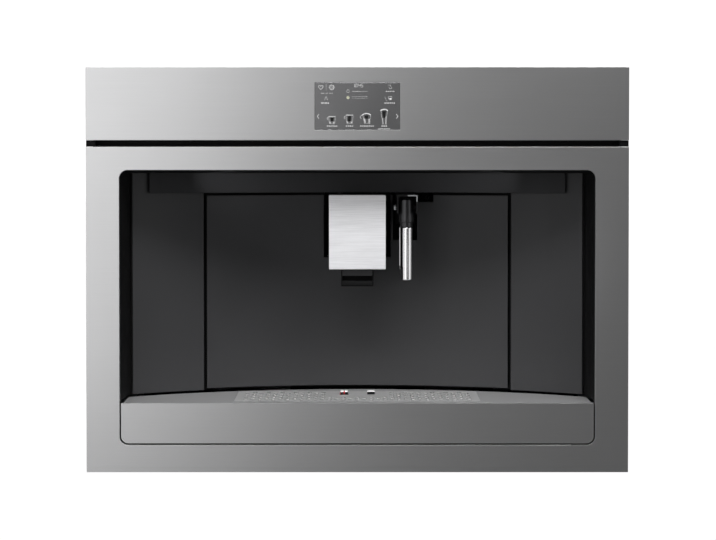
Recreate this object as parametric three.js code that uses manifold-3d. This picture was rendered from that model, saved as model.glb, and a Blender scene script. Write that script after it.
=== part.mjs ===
// Built-in coffee machine: a 596 mm wide appliance for a 450 mm high kitchen niche.
// Millimetres. +X right, +Y back, +Z up. Origin: bottom centre of the bounding box.
// In the helpers below every depth is given as d, counted back from the front plane (d = 0).

import * as THREE from 'three';
import { mergeVertices } from 'three/addons/utils/BufferGeometryUtils.js';
import Module from 'manifold-3d';

const wasm = await Module();
wasm.setup();

// ---------------------------------------------------------------- driving dimensions
const WIDTH = 596;                 // front width
const DEPTH = 475;                 // front plane to rear cover
const FRONT_Z0 = 2;                // lower edge of the door front
const DOOR_Z1 = 360;               // upper edge of the door front
const FASCIA_Z0 = 367.3;           // lower edge of the control fascia
const FASCIA_Z1 = 447.5;           // upper edge of the control fascia
const SHEET = 1.5;                 // steel sheet thickness
const DOOR_RETURN = 15;            // depth of the door front's folded edge
const OPEN_X = 261.6;              // half width of the niche opening in the door
const OPEN_Z0 = 32.05;
const OPEN_Z1 = 334.6;
const OPEN_R = 9.5;                // corner radius of the niche opening
const HINGE_X = -292.5;            // door hinge axis
const HINGE_D = 6.5;
const WALL_D0 = 149.2;             // niche back wall: depth at the middle
const WALL_R = 440;                // niche back wall: radius of the arc in plan
const HOOD_D0 = 137.5;             // hood panel: depth at the middle
const HOOD_R = 455;                // hood panel: radius of the arc in plan
const CENTRE_HALF = 172.9;         // half width of the fixed centre panel
const SIDE_IN = 176.3;             // inner edge of the side panels
const SIDE_OUT = 255.2;            // outer edge of the side panels
const PANEL_T = 2.5;               // niche panel thickness
const TRAY_HALF = 260;             // tray front, half width
const TRAY_Z0 = 33.9;
const TRAY_Z1 = 78;                // level of the tray's metal top
const GRID_HALF = 136.8;           // cup grid, half width
const GRID_D0 = 21;
const GRID_D1 = 121.5;
const SPOUT_HALF = 31.8;           // spout front plate, half width
const SPOUT_Z0 = 222.9;
const SPOUT_Z1 = 306.3;
const SPOUT_D = 48;
const WAND_X = 54.9;
const WAND_D = 62;
const WAND_PIN_Z = 292;
const HOUSING_HALF = 279;

// ---------------------------------------------------------------- geometry helpers
const Y = (d) => d - DEPTH / 2;

// merged, indexed, position-only copy with its faces pointing out
function clean(geom) {
  let g = geom.clone();
  for (const k of Object.keys(g.attributes)) if (k !== 'position') g.deleteAttribute(k);
  g = mergeVertices(g, 1e-4);
  const idx = g.index.array;
  const p = g.attributes.position.array;
  const keep = [];
  let vol = 0;
  for (let i = 0; i < idx.length; i += 3) {
    const a = idx[i], b = idx[i + 1], c = idx[i + 2];
    if (a === b || b === c || a === c) continue;
    keep.push(a, b, c);
    const A = a * 3, B = b * 3, C = c * 3;
    vol += p[A] * (p[B + 1] * p[C + 2] - p[B + 2] * p[C + 1])
         - p[A + 1] * (p[B] * p[C + 2] - p[B + 2] * p[C])
         + p[A + 2] * (p[B] * p[C + 1] - p[B + 1] * p[C]);
  }
  if (vol < 0) for (let i = 0; i < keep.length; i += 3) [keep[i + 1], keep[i + 2]] = [keep[i + 2], keep[i + 1]];
  g.setIndex(keep);
  return g;
}
const toSolid = (geom) => {
  const g = clean(geom);
  return new wasm.Manifold(new wasm.Mesh({
    numProp: 3,
    vertProperties: new Float32Array(g.attributes.position.array),
    triVerts: new Uint32Array(g.index.array),
  }));
};
const fromSolid = (m) => {
  const mesh = m.getMesh();
  const g = new THREE.BufferGeometry();
  g.setAttribute('position', new THREE.BufferAttribute(new Float32Array(mesh.vertProperties), 3));
  g.setIndex(Array.from(mesh.triVerts));
  return g;
};
const cut = (a, ...rest) => fromSolid(rest.reduce((m, b) => m.subtract(toSolid(b)), toSolid(a)));
const join = (a, ...rest) => fromSolid(rest.reduce((m, b) => m.add(toSolid(b)), toSolid(a)));
const common = (a, b) => fromSolid(toSolid(a).intersect(toSolid(b)));

// box from its lowest and highest corner
function box(x0, x1, d0, d1, z0, z1) {
  return new THREE.BoxGeometry(x1 - x0, d1 - d0, z1 - z0)
    .translate((x0 + x1) / 2, Y((d0 + d1) / 2), (z0 + z1) / 2);
}
// outline in X-Z, extruded from depth d0 to d1
const plateXZ = (shape, d0, d1, seg = 5) =>
  new THREE.ExtrudeGeometry(shape, { depth: d1 - d0, bevelEnabled: false, curveSegments: seg })
    .rotateX(Math.PI / 2).translate(0, Y(d1), 0);
// outline in plan (X, d), extruded from z0 to z1
const platePlan = (shape, z0, z1, seg = 5) =>
  new THREE.ExtrudeGeometry(shape, { depth: z1 - z0, bevelEnabled: false, curveSegments: seg })
    .translate(0, Y(0), z0);
// outline in (d, Z), extruded from x0 to x1
const profileX = (points, x0, x1) => {
  const shape = new THREE.Shape(points.map(([d, z]) => new THREE.Vector2(d, z)));
  const turn = new THREE.Matrix4().makeBasis(
    new THREE.Vector3(0, 1, 0), new THREE.Vector3(0, 0, 1), new THREE.Vector3(1, 0, 0));
  return new THREE.ExtrudeGeometry(shape, { depth: x1 - x0, bevelEnabled: false })
    .applyMatrix4(turn).translate(x0, Y(0), 0);
};
// round bar along an axis
function bar(r, length, axis, x, d, z, seg = 20) {
  const g = new THREE.CylinderGeometry(r, r, length, seg);
  if (axis === 'x') g.rotateZ(Math.PI / 2);
  if (axis === 'z') g.rotateX(Math.PI / 2);
  return g.translate(x, Y(d), z);
}
// turned piece: profile of [radius, height] along +Z, standing at (x, d)
const turned = (profile, x, d, seg = 24) =>
  new THREE.LatheGeometry(profile.map(([r, h]) => new THREE.Vector2(r, h)), seg)
    .rotateX(Math.PI / 2).translate(x, Y(d), 0);
// the same along +Y, its profile heights counted as depths
const turnedY = (profile, x, z, seg = 24) =>
  new THREE.LatheGeometry(profile.map(([r, h]) => new THREE.Vector2(r, h)), seg)
    .translate(x, Y(0), z);

function roundRect(x0, x1, z0, z1, r) {
  const rr = Array.isArray(r) ? r : [r, r, r, r]; // lower left, lower right, upper right, upper left
  const s = new THREE.Shape();
  s.moveTo(x0 + rr[0], z0);
  s.lineTo(x1 - rr[1], z0);
  if (rr[1]) s.absarc(x1 - rr[1], z0 + rr[1], rr[1], -Math.PI / 2, 0, false);
  s.lineTo(x1, z1 - rr[2]);
  if (rr[2]) s.absarc(x1 - rr[2], z1 - rr[2], rr[2], 0, Math.PI / 2, false);
  s.lineTo(x0 + rr[3], z1);
  if (rr[3]) s.absarc(x0 + rr[3], z1 - rr[3], rr[3], Math.PI / 2, Math.PI, false);
  s.lineTo(x0, z0 + rr[0]);
  if (rr[0]) s.absarc(x0 + rr[0], z0 + rr[0], rr[0], Math.PI, Math.PI * 1.5, false);
  return s;
}

// depth of the two concentric-looking arcs at x
const wallD = (x) => WALL_D0 - (WALL_R - Math.sqrt(WALL_R * WALL_R - x * x));
const hoodD = (x) => HOOD_D0 - (HOOD_R - Math.sqrt(HOOD_R * HOOD_R - x * x));
const steps = (x0, x1, n) => Array.from({ length: n + 1 }, (_, i) => x0 + (x1 - x0) * i / n);
// curved band between depth f(x)+near and f(x)+far
function band(f, x0, x1, near, far, n) {
  const xs = steps(x0, x1, n);
  const pts = [...xs.map((x) => new THREE.Vector2(x, f(x) + near)),
    ...xs.slice().reverse().map((x) => new THREE.Vector2(x, f(x) + far))];
  return new THREE.Shape(pts);
}
// plan region from a straight front edge back to the arc
function region(half, front, f, off, n) {
  const xs = steps(-half, half, n);
  return new THREE.Shape([new THREE.Vector2(-half, front), new THREE.Vector2(half, front),
    ...xs.slice().reverse().map((x) => new THREE.Vector2(x, f(x) + off))]);
}

// ---------------------------------------------------------------- materials
const mat = (color, roughness, metalness, extra = {}) =>
  new THREE.MeshStandardMaterial({ color, roughness, metalness, flatShading: true, ...extra });
const M = {
  steel: mat(0x9a9a9c, 0.38, 1.0),
  steelLight: mat(0xc9c9cb, 0.34, 1.0),
  chrome: mat(0xe6e6e8, 0.08, 1.0),
  panelGrey: mat(0x343436, 0.55, 0.0),
  hoodGrey: mat(0x222224, 0.5, 0.0),
  blackPlastic: mat(0x0b0b0c, 0.5, 0.0),
  blackPaint: mat(0x111112, 0.6, 0.3),
  zinc: mat(0xa9adb0, 0.42, 1.0),
  glass: mat(0x5f6062, 0.12, 0.0),
  greyPlastic: mat(0x55585b, 0.55, 0.0),
  clearPlastic: mat(0x9fb0b8, 0.15, 0.0, { transparent: true, opacity: 0.45 }),
  smokedPlastic: mat(0x3a3430, 0.2, 0.0, { transparent: true, opacity: 0.6 }),
  whitePlastic: mat(0xd8d8d4, 0.5, 0.0),
  redPlastic: mat(0xa01218, 0.4, 0.0),
  brass: mat(0xb08d4a, 0.35, 1.0),
  aluminium: mat(0xb4b6b8, 0.45, 1.0),
  burrSteel: mat(0x77797b, 0.35, 1.0),
  silicone: mat(0xd9d9d2, 0.5, 0.0),
  board: mat(0x1f4a33, 0.6, 0.0),
};

// ---------------------------------------------------------------- scene graph
const machine = new THREE.Group();
machine.name = 'coffee_machine';
const groups = new Map();
groups.set('root', machine);
function group(name, parent, x, d, z) {
  const g = new THREE.Group();
  g.name = name + '_group';
  const at = new THREE.Vector3(x, Y(d), z);
  g.userData.at = at;
  const parentAt = groups.get(parent).userData.at ?? new THREE.Vector3();
  g.position.copy(at).sub(parentAt);
  groups.get(parent).add(g);
  groups.set(name, g);
}
function add(to, name, geom, material) {
  const g = clean(geom);
  const parent = groups.get(to);
  const at = parent.userData.at ?? new THREE.Vector3();
  g.computeBoundingBox();
  const c = g.boundingBox.getCenter(new THREE.Vector3());
  g.translate(-c.x, -c.y, -c.z);
  const mesh = new THREE.Mesh(g, material);
  mesh.name = name;
  mesh.position.copy(c).sub(at);
  parent.add(mesh);
}
group('door', 'root', HINGE_X, HINGE_D, 0);
group('spout', 'root', 0, 120, 290);
group('wand', 'root', WAND_X, WAND_D, WAND_PIN_Z);
group('tray', 'root', 0, 0, TRAY_Z0);
group('grid', 'tray', 0, 70, TRAY_Z1);
group('float', 'tray', -15, 88, TRAY_Z1);
group('fan', 'root', -170, 460, 150);
group('burr', 'root', -166, 215, 276);
group('brew_piston', 'root', 0, 255, 200);
group('brew_spindle', 'root', 42, 255, 200);

// ================================================================ housing
// base: floor sheet, four pressed runners that carry the machine, and the tray's rails
add('root', 'base_plate', join(
  box(-HOUSING_HALF, HOUSING_HALF, 21.3, 473.2, 3, 4.5),
  box(-262, -242, 30, 465, 0, 3.4),
  box(242, 262, 30, 465, 0, 3.4),
  box(-120, -100, 30, 465, 0, 3.4),
  box(100, 120, 30, 465, 0, 3.4),
  box(-247, -243, 24, 300, 4, 33.6),
  box(243, 247, 24, 300, 4, 33.6),
  box(-78, -74, 24, 310, 4, 33.6),
  box(74, 78, 24, 310, 4, 33.6),
), M.zinc);

// side walls: folded sheets with a flange above and below
for (const side of [-1, 1]) {
  const a = side * HOUSING_HALF, b = side * (HOUSING_HALF - SHEET), c = side * (HOUSING_HALF - 11);
  const lo = Math.min, hi = Math.max;
  let wall = join(
    box(lo(a, b), hi(a, b), 21.3, 473.2, 4.8, 443.2),
    box(lo(a, c), hi(a, c), 21.3, 473.2, 4.8, 6.3),
    box(lo(a, c), hi(a, c), 21.3, 473.2, 441.7, 443.2));
  const slots = [];
  for (let i = 0; i < 7; i++) slots.push(box(lo(a, b) - 1, hi(a, b) + 1, 380 + i * 11, 385 + i * 11, 300, 350));
  wall = cut(wall, ...slots);
  add('root', side < 0 ? 'left_wall' : 'right_wall', wall, M.zinc);
}

// top cover with two rows of vent slots
{
  const slots = [];
  for (let i = 0; i < 12; i++) {
    slots.push(box(-170 + i * 14, -164 + i * 14, 380, 430, 440, 448));
    slots.push(box(10 + i * 14, 16 + i * 14, 380, 430, 440, 448));
  }
  add('root', 'top_cover', cut(box(-HOUSING_HALF, HOUSING_HALF, 21.3, 473.2, 443.5, 445), ...slots), M.zinc);
}

// rear cover with the fan grille and the inlet cut-out
{
  const cuts = [box(150.5, 177.5, 470, 480, 30.5, 53.5)];
  for (let i = -4; i <= 4; i++) {
    const half = Math.sqrt(34 * 34 - (i * 7.4) ** 2);
    cuts.push(box(-170 - half, -170 + half, 470, 480, 150 + i * 7.4 - 2.2, 150 + i * 7.4 + 2.2));
  }
  for (let i = 0; i < 10; i++) cuts.push(box(60 + i * 14, 66 + i * 14, 470, 480, 300, 360));
  add('root', 'rear_cover', cut(box(-HOUSING_HALF, HOUSING_HALF, 473.5, DEPTH, 3, 445), ...cuts), M.zinc);
}

// front frame: the chassis face behind the door and the fascia, with its side flanges
add('root', 'front_frame', cut(
  box(-292, 292, 19.5, 21, 5, 445),
  plateXZ(roundRect(-264, 264, 32.8, 343, 6), 15, 25, 3),
  box(-60, 60, 15, 25, 378, 430),
  bar(2.3, 10, 'y', -285.5, 20, 60, 12), bar(2.3, 10, 'y', 285.5, 20, 60, 12),
  bar(2.3, 10, 'y', -285.5, 20, 320, 12), bar(2.3, 10, 'y', 285.5, 20, 320, 12),
), M.blackPaint);

// ================================================================ control fascia
add('root', 'control_fascia', cut(
  box(-WIDTH / 2, WIDTH / 2, 0, 18, FASCIA_Z0, FASCIA_Z1),
  box(-WIDTH / 2 + SHEET, WIDTH / 2 - SHEET, SHEET, 19, FASCIA_Z0 + SHEET, FASCIA_Z1 - SHEET),
  box(-46.85, 46.85, -1, 3, 378.7, 430.8),
), M.steel);
add('root', 'display_glass', box(-46.55, 46.55, 0.1, 2.4, 379, 430.5), M.glass);
add('root', 'display_module', join(
  box(-50, 50, 2.8, 9, 374, 434),
  box(-34, 34, 8.5, 14, 384, 424),
), M.blackPlastic);
add('root', 'grip_strip', join(
  profileX([[19.2, 361], [19.2, 367], [11, 367], [11, 366], [16.5, 366],
    [16.5, 362], [11, 362], [11, 361]], -297.9, 297.9),
  box(-297.9, -296, 0.8, 19.2, 361, 367), box(296, 297.9, 0.8, 19.2, 361, 367)), M.blackPlastic);

// ================================================================ door (hinged on the left)
{
  const opening = roundRect(-OPEN_X, OPEN_X, OPEN_Z0, OPEN_Z1, OPEN_R);
  const fold = roundRect(-OPEN_X - SHEET, OPEN_X + SHEET, OPEN_Z0 - SHEET, OPEN_Z1 + SHEET, OPEN_R + SHEET);
  let frame = cut(
    box(-WIDTH / 2, WIDTH / 2, 0, DOOR_RETURN, FRONT_Z0, DOOR_Z1),
    box(-WIDTH / 2 + SHEET, WIDTH / 2 - SHEET, SHEET, 20, FRONT_Z0 + SHEET, DOOR_Z1 - SHEET));
  frame = join(frame, plateXZ(fold, 0.7, 8));
  frame = cut(frame, plateXZ(opening, -1, 20),
    box(-300, -296, SHEET, 20, 11.5, 17.5), box(-300, -296, SHEET, 20, 344.5, 350.5));
  add('door', 'door_frame', frame, M.steel);
}
// liner: drafted cheeks and ceiling of the niche, screwed behind the door front
{
  const cheek = (s) => platePlan(new THREE.Shape([
    [s * OPEN_X, 8.4], [s * 272, 8.4], [s * 272, 10.4], [s * (OPEN_X + 2.1), 10.4],
    [s * (SIDE_OUT + 2.8), 70], [s * (SIDE_OUT + 0.4), 70],
  ].map(([x, d]) => new THREE.Vector2(x, d))), 80.3, 339.5);
  const ceiling = cut(
    profileX([[8.4, 344], [8.4, OPEN_Z1 + 0.1], [60, 330.6], [140, 330.6], [140, 333], [60, 333], [10.4, 336.9], [10.4, 344]], -262.5, 262.5),
    platePlan(new THREE.Shape([...steps(-236.7, 236.7, 16).map((x) => new THREE.Vector2(x, hoodD(x) - 0.4)),
      new THREE.Vector2(240, 72.2), new THREE.Vector2(SIDE_OUT + 3.4, 66), new THREE.Vector2(300, 66),
      new THREE.Vector2(300, 300), new THREE.Vector2(-300, 300), new THREE.Vector2(-300, 66),
      new THREE.Vector2(-SIDE_OUT - 3.4, 66), new THREE.Vector2(-240, 72.2)]), 300, 360));
  add('door', 'door_liner', join(ceiling, cheek(1), cheek(-1)), M.blackPlastic);
}
for (const s of [-1, 1]) {
  const shape = s < 0 ? band(wallD, -SIDE_OUT, -SIDE_IN, 0, PANEL_T, 6) : band(wallD, SIDE_IN, SIDE_OUT, 0, PANEL_T, 6);
  add('door', s < 0 ? 'side_panel_left' : 'side_panel_right', platePlan(shape, 80.5, 338.5), M.panelGrey);
}
add('door', 'hood_panel', common(
  platePlan(band(hoodD, -236.7, 236.7, 0, 2.2, 20), 300, 345),
  plateXZ(roundRect(-236.7, 236.7, 307.5, 338.5, [2.5, 2.5, 0, 0]), 40, 170, 3)), M.hoodGrey);
for (const [n, z] of [['door_bush_lower', 16.6], ['door_bush_upper', 349.6]]) {
  add('door', n, cut(box(-296.2, -280, 1.9, 14.6, z, z + 3), bar(2.3, 10, 'z', HINGE_X, HINGE_D, z + 1.5, 16)), M.zinc);
}
add('door', 'door_strike', join(box(270, 292, 1.9, 4.4, 166, 198), box(275, 287, 4, 7.4, 172, 192)), M.zinc);

// hinge brackets, each with its riveted pin
for (const [n, z, zp] of [['hinge_bracket_lower', 13, 19.2], ['hinge_bracket_upper', 346, 352.2]]) {
  const arm = new THREE.Shape();
  arm.moveTo(HINGE_X + 3.2, HINGE_D);
  arm.lineTo(HINGE_X + 3.2, 18.5);
  arm.lineTo(HINGE_X - 3.2, 18.5);
  arm.lineTo(HINGE_X - 3.2, HINGE_D);
  arm.absarc(HINGE_X, HINGE_D, 3.2, Math.PI, Math.PI * 2, false);
  add('root', n, join(
    platePlan(arm, z, z + 3, 8),
    box(-295.7, -268, 17.4, 19.2, z - 7, z + 11),
    bar(2, zp - z - 0.5, 'z', HINGE_X, HINGE_D, (z + 0.5 + zp) / 2, 16)), M.zinc);
}
add('root', 'latch', join(box(271, 291, 16, 19.2, 160, 204), box(275, 287, 7.8, 17, 170, 194)), M.blackPlastic);

// ================================================================ fixed middle of the niche
add('root', 'centre_panel', cut(
  platePlan(band(wallD, -CENTRE_HALF, CENTRE_HALF, 0, 3, 16), 82.5, 304.4),
  box(-38.8, 38.8, 100, 200, 231.9, 320),
  box(41.2, 69.2, 100, 200, 252, 320),
  box(68.5, 88, 100, 200, 296.3, 320)), M.panelGrey);
{
  const bandBody = platePlan(band(wallD, -186, 186, 7, 9.5, 14), 80.4, 342);
  const boxes = join(box(-41.2, 41.2, 120, 178, 229.5, 333), box(38.5, 91, 120, 178, 249.6, 333));
  const clear = platePlan(region(200, 20, wallD, 3.4, 14), 60, 360);
  add('root', 'niche_carrier', cut(join(bandBody, boxes), clear,
    box(-38.8, 38.8, 60, 175.6, 231.9, 330.6),
    box(41.2, 69.2, 60, 175.6, 252, 330.6),
    box(68.5, 88, 60, 166, 296.3, 330.6)), M.blackPlastic);
}
for (const s of [-1, 1]) {
  add('root', s < 0 ? 'spout_guide_rod_left' : 'spout_guide_rod_right',
    bar(3, 98, 'z', s * 20, 164, 281.2, 16), M.chrome);
}
add('root', 'wand_bracket', cut(join(
  box(44.5, 67.5, 52.5, 172, 304.6, 306.1),
  box(44.5, 46, 52.5, 172, 285, 306.1),
  box(66, 67.5, 52.5, 172, 285, 306.1),
  box(44.5, 67.5, 171, 174.8, 270, 306.1)),
  bar(2.15, 40, 'x', 55, WAND_D, WAND_PIN_Z, 14)), M.blackPaint);
add('root', 'wand_pin', join(
  bar(3, 3, 'x', 42.5, WAND_D, WAND_PIN_Z, 16),
  bar(1.9, 24.2, 'x', 55.1, WAND_D, WAND_PIN_Z, 14)), M.zinc);
add('root', 'milk_hose_port', turnedY([[0, 165.6], [5.5, 165.6], [5.5, 161], [3.6, 161], [3.6, 148], [2.6, 146],
  [1.6, 146], [1.6, 156], [0, 156]], 81.5, 301.8, 16), M.greyPlastic);

// ================================================================ height-adjustable coffee spout
add('spout', 'spout_front_plate', box(-SPOUT_HALF, SPOUT_HALF, SPOUT_D, SPOUT_D + 2.6, SPOUT_Z0, SPOUT_Z1), M.steelLight);
add('spout', 'spout_body', cut(
  box(-30.4, 30.4, SPOUT_D + 2.9, 120, SPOUT_Z0 + 0.8, SPOUT_Z1 - 0.8),
  box(-27.9, 27.9, SPOUT_D + 5.4, 117.5, 200, SPOUT_Z1 - 3.3)), M.blackPlastic);
add('spout', 'nozzle_block', cut(
  box(-18.1, 18.1, 56, 88, 203.4, 240),
  box(-16.6, 16.6, 50, 62, 209.8, 214.8),
  turned([[0, 200], [6, 200], [6, 212], [0, 212]], -9, 74, 16),
  turned([[0, 200], [6, 200], [6, 212], [0, 212]], 9, 74, 16)), M.blackPlastic);
add('spout', 'spout_carriage', cut(join(
  box(-26, 26, 157, 171, 284, 303),
  box(-14, 14, 120.3, 158, 287, 300)),
  bar(3.4, 40, 'z', -20, 164, 293, 16), bar(3.4, 40, 'z', 20, 164, 293, 16)), M.blackPlastic);

// ================================================================ hot water and steam wand
add('wand', 'wand_handle', cut(turned([[0, 262], [5.8, 262], [5.8, 269.9], [7, 269.9], [7, 275.6], [8, 275.6],
  [8, 300.4], [5.8, 302.7], [0, 302.7]], WAND_X, WAND_D, 24),
  bar(2.2, 40, 'x', WAND_X, WAND_D, WAND_PIN_Z, 14)), M.blackPlastic);
add('wand', 'wand_tube', turned([[0, 218], [5, 218], [5, 210.4], [7.2, 210.4], [7.2, 269.6], [6.1, 269.6],
  [6.1, 260], [0, 260]], WAND_X, WAND_D, 24), M.chrome);

// ================================================================ drip tray drawer
add('tray', 'tray_front_panel', cut(
  plateXZ(roundRect(-TRAY_HALF, TRAY_HALF, TRAY_Z0, TRAY_Z1, [8, 8, 0, 0]), 0, 6.4),
  plateXZ(roundRect(-TRAY_HALF + SHEET, TRAY_HALF - SHEET, TRAY_Z0 + SHEET, TRAY_Z1 - SHEET, [6.5, 6.5, 0, 0]), SHEET, 10)), M.steel);
add('tray', 'drip_tray', cut(join(
  box(-256, 256, 7.2, 205, 34, 71.5),
  box(-84, 84, 204, 306, 34, 36),
  box(-84, -82, 204, 306, 34, 38.2), box(82, 84, 204, 306, 34, 38.2), box(-84, 84, 304, 306, 34, 38.2)),
  box(-254, 254, 9.2, 203, 36, 80)), M.blackPlastic);
{
  const skirt = new THREE.Shape(region(258, 6.9, wallD, -1.5, 18).getPoints());
  const inner = region(256.5, 8.4, wallD, -3, 18);
  const sheet = platePlan(skirt, 71.9, TRAY_Z1);
  const hollow = platePlan(inner, 60, TRAY_Z1 - 1.4);
  const ledge = cut(platePlan(roundRect(-140, 140, 17.8, 124.7, 2), 74.9, TRAY_Z1 - 1),
    platePlan(roundRect(-133.8, 133.8, 24, 118.5, 1), 60, 90));
  const well = platePlan(roundRect(-137.3, 137.3, 20.5, 122, 1.5), 76.4, 90);
  add('tray', 'tray_top', cut(join(cut(sheet, hollow, platePlan(roundRect(-136, 136, 22, 120.5, 1), 60, 90)), ledge), well), M.steel);
}
add('tray', 'grounds_container', cut(box(-80, 80, 208, 302, 36.3, 78.4), box(-78, 78, 210, 300, 38.3, 90)), M.blackPlastic);

// float: bulb in the basin, stem, and a two-lobed red flag over the grid
add('float', 'tray_float', join(
  box(-22, -8, 81, 95, 45, 53),
  bar(2, 26, 'z', -15, 88, 65, 10),
  box(-19.8, -10.2, 84.4, 91.6, 76.6, 78.5),
  box(-19.3, -15.4, 85, 91, 78, 82.8),
  box(-14.6, -10.7, 85, 91, 78, 82.8)), M.redPlastic);

// cup grid: staggered slots, with a plain field in the middle
{
  const plate = roundRect(-GRID_HALF, GRID_HALF, GRID_D0, GRID_D1, 1.5);
  const PITCH = 7.8;
  for (let k = -16; k <= 16; k++) {
    const x = k * PITCH;
    for (let r = 0; r < 4; r++) {
      const d = (k % 2 === 0 ? 32 : 43) + r * 22;
      if (Math.abs(x) < 34 && d > 60) continue;
      if (d + 6.5 > GRID_D1 - 3) continue;
      plate.holes.push(new THREE.Path([[2.7, -4.4], [2.7, 4.4], [0, 6], [-2.7, 4.4], [-2.7, -4.4], [0, -6]]
        .map(([a, b]) => new THREE.Vector2(x + a, d + b))));
    }
  }
  plate.holes.push(new THREE.Path([[-20.3, 83.9], [-9.7, 83.9], [-9.7, 92.1], [-20.3, 92.1]]
    .map(([a, b]) => new THREE.Vector2(a, b))));
  add('grid', 'cup_grid', platePlan(plate, 76.8, 78.3, 3), M.steelLight);
}
add('grid', 'grid_lift_tab', box(11, 20, 84.5, 91.5, 78.6, 82.6), M.blackPlastic);

// ================================================================ inside the machine
add('root', 'water_tank', cut(box(196, 270, 128, 330, 92, 312), box(198.2, 267.8, 130.2, 327.8, 94.5, 320)), M.clearPlastic);
add('root', 'water_tank_lid', join(box(195, 271, 127, 331, 312.3, 315.3), box(222, 244, 200, 260, 315, 321)), M.greyPlastic);
add('root', 'bean_hopper', cut(join(
  box(-236, -96, 130, 300, 358, 430), bar(15, 14, 'z', -166, 215, 352, 20)),
  box(-233.5, -98.5, 132.5, 297.5, 361, 440), bar(12, 30, 'z', -166, 215, 355, 20)), M.smokedPlastic);
add('root', 'bean_hopper_lid', join(box(-237, -95, 129, 301, 430.3, 433.3), box(-186, -146, 205, 225, 433, 438)), M.blackPlastic);
add('root', 'grinder_housing', cut(join(
  bar(42, 76, 'z', -166, 215, 300, 28), box(-140, -62, 200, 230, 262, 282)),
  bar(36, 80, 'z', -166, 215, 315, 28), box(-150, -65, 203, 227, 265, 279)), M.aluminium);
add('root', 'grinder_motor', join(bar(33, 76, 'z', -166, 215, 223.5, 28), bar(8, 12, 'z', -166, 215, 181, 16)), M.zinc);
{
  const star = new THREE.Shape();
  const N = 20;
  for (let i = 0; i < N * 2; i++) {
    const r = i % 2 ? 26 : 31, a = i * Math.PI / N;
    const x = -166 + r * Math.cos(a), d = 215 + r * Math.sin(a);
    if (i === 0) star.moveTo(x, d); else star.lineTo(x, d);
  }
  add('burr', 'grinder_burr', join(platePlan(star, 276, 296), turned([[0, 290], [22, 290], [10, 322], [0, 322]], -166, 215, 20)), M.burrSteel);
}
add('root', 'brew_unit_frame', join(
  box(-58, -54, 190, 320, 95, 325), box(54, 58, 190, 320, 95, 325),
  box(-58, 58, 190, 320, 318, 325), box(-58, 58, 312, 320, 95, 120), box(-58, 58, 190, 196, 95, 110)), M.greyPlastic);
add('root', 'brew_cylinder', cut(join(
  bar(31, 60, 'z', 0, 255, 160, 28), box(-53.6, 53.6, 240, 270, 150, 168)),
  bar(26, 80, 'z', 0, 255, 172, 28), bar(5.6, 40, 'z', 42, 255, 158, 16)), M.blackPlastic);
add('brew_piston', 'brew_piston', cut(join(
  bar(25.4, 15, 'z', 0, 255, 202.5, 28), bar(8, 30, 'z', 0, 255, 220, 16), box(-12, 51, 245, 265, 226, 240)),
  bar(5.5, 40, 'z', 42, 255, 232, 16)), M.whitePlastic);
add('brew_spindle', 'brew_spindle', join(bar(5, 191, 'z', 42, 255, 221.5, 16), bar(11, 9, 'z', 42, 255, 122, 20)), M.burrSteel);
add('root', 'boiler', join(
  turned([[0, 226], [38, 226], [40, 229], [40, 262], [44, 262], [44, 268], [40, 268], [40, 318], [34, 326], [0, 326]], 128, 262, 28),
  bar(5, 14, 'z', 128, 262, 331, 12)), M.aluminium);
add('root', 'pump', join(
  bar(20, 62, 'y', 118, 200, 134, 22), box(96, 140, 184, 216, 110, 158), bar(6, 20, 'y', 118, 238, 134, 12)), M.brass);
{
  const tube = (pts, r, n) => new THREE.ExtrudeGeometry(
    new THREE.Shape(Array.from({ length: 8 }, (_, i) => new THREE.Vector2(r * Math.cos(i * Math.PI / 4), r * Math.sin(i * Math.PI / 4)))),
    { steps: n, bevelEnabled: false, extrudePath: new THREE.CatmullRomCurve3(pts.map(([x, d, z]) => new THREE.Vector3(x, Y(d), z))) });
  add('root', 'hose_tank_pump', tube([[195.6, 300, 104], [184, 300, 104], [166, 297, 108], [148, 286, 118], [132, 272, 128], [120, 262, 133.4], [118, 255, 134], [118, 248.4, 134]], 4, 22), M.silicone);
  add('root', 'hose_boiler_brew', tube([[128, 262, 338.4], [128, 262, 345], [122, 262, 352], [108, 261, 356], [80, 258, 357], [40, 256, 355], [14, 255, 350], [3, 255, 342], [0, 255, 334], [0, 255, 325.4]], 3.5, 26), M.silicone);
}
add('root', 'power_board', join(
  box(-60, 200, 336, 440, 392, 394), box(-40, 10, 350, 400, 393.5, 425), box(60, 90, 350, 430, 393.5, 418), box(120, 180, 360, 410, 393.5, 412)), M.board);
// cooling fan at the rear
add('root', 'fan_housing', join(cut(
  box(-210, -130, 448, 473, 110, 190), bar(37, 40, 'y', -170, 460, 150, 28)),
  bar(15, 4, 'y', -170, 450.2, 150, 20),
  box(-208, -132, 448.4, 451.4, 147.5, 152.5), box(-172.5, -167.5, 448.4, 451.4, 112, 188)), M.blackPlastic);
{
  const hub = bar(14, 16, 'y', -170, 462, 150, 20);
  const blades = [];
  for (let i = 0; i < 7; i++) {
    blades.push(new THREE.BoxGeometry(23, 12, 1.8).translate(23, 0, 0).rotateX(0.6)
      .rotateY(i * 2 * Math.PI / 7).translate(-170, Y(462), 150));
  }
  add('fan', 'fan_rotor', join(hub, ...blades), M.blackPlastic);
}
add('root', 'mains_inlet', join(cut(
  box(151, 177, 452, 474.8, 31, 53), box(155, 173, 458, 480, 35, 49)),
  box(158, 160, 455, 470, 40, 44), box(163, 165, 455, 470, 43, 47), box(168, 170, 455, 470, 40, 44)), M.blackPlastic);

export default machine;
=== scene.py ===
"""Built-in coffee machine: finishes, fine geometry, studio and camera around the fixed CAD frame."""
import math

import bmesh
import bpy
from mathutils import Matrix, Vector
from mathutils.geometry import tessellate_polygon


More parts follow.
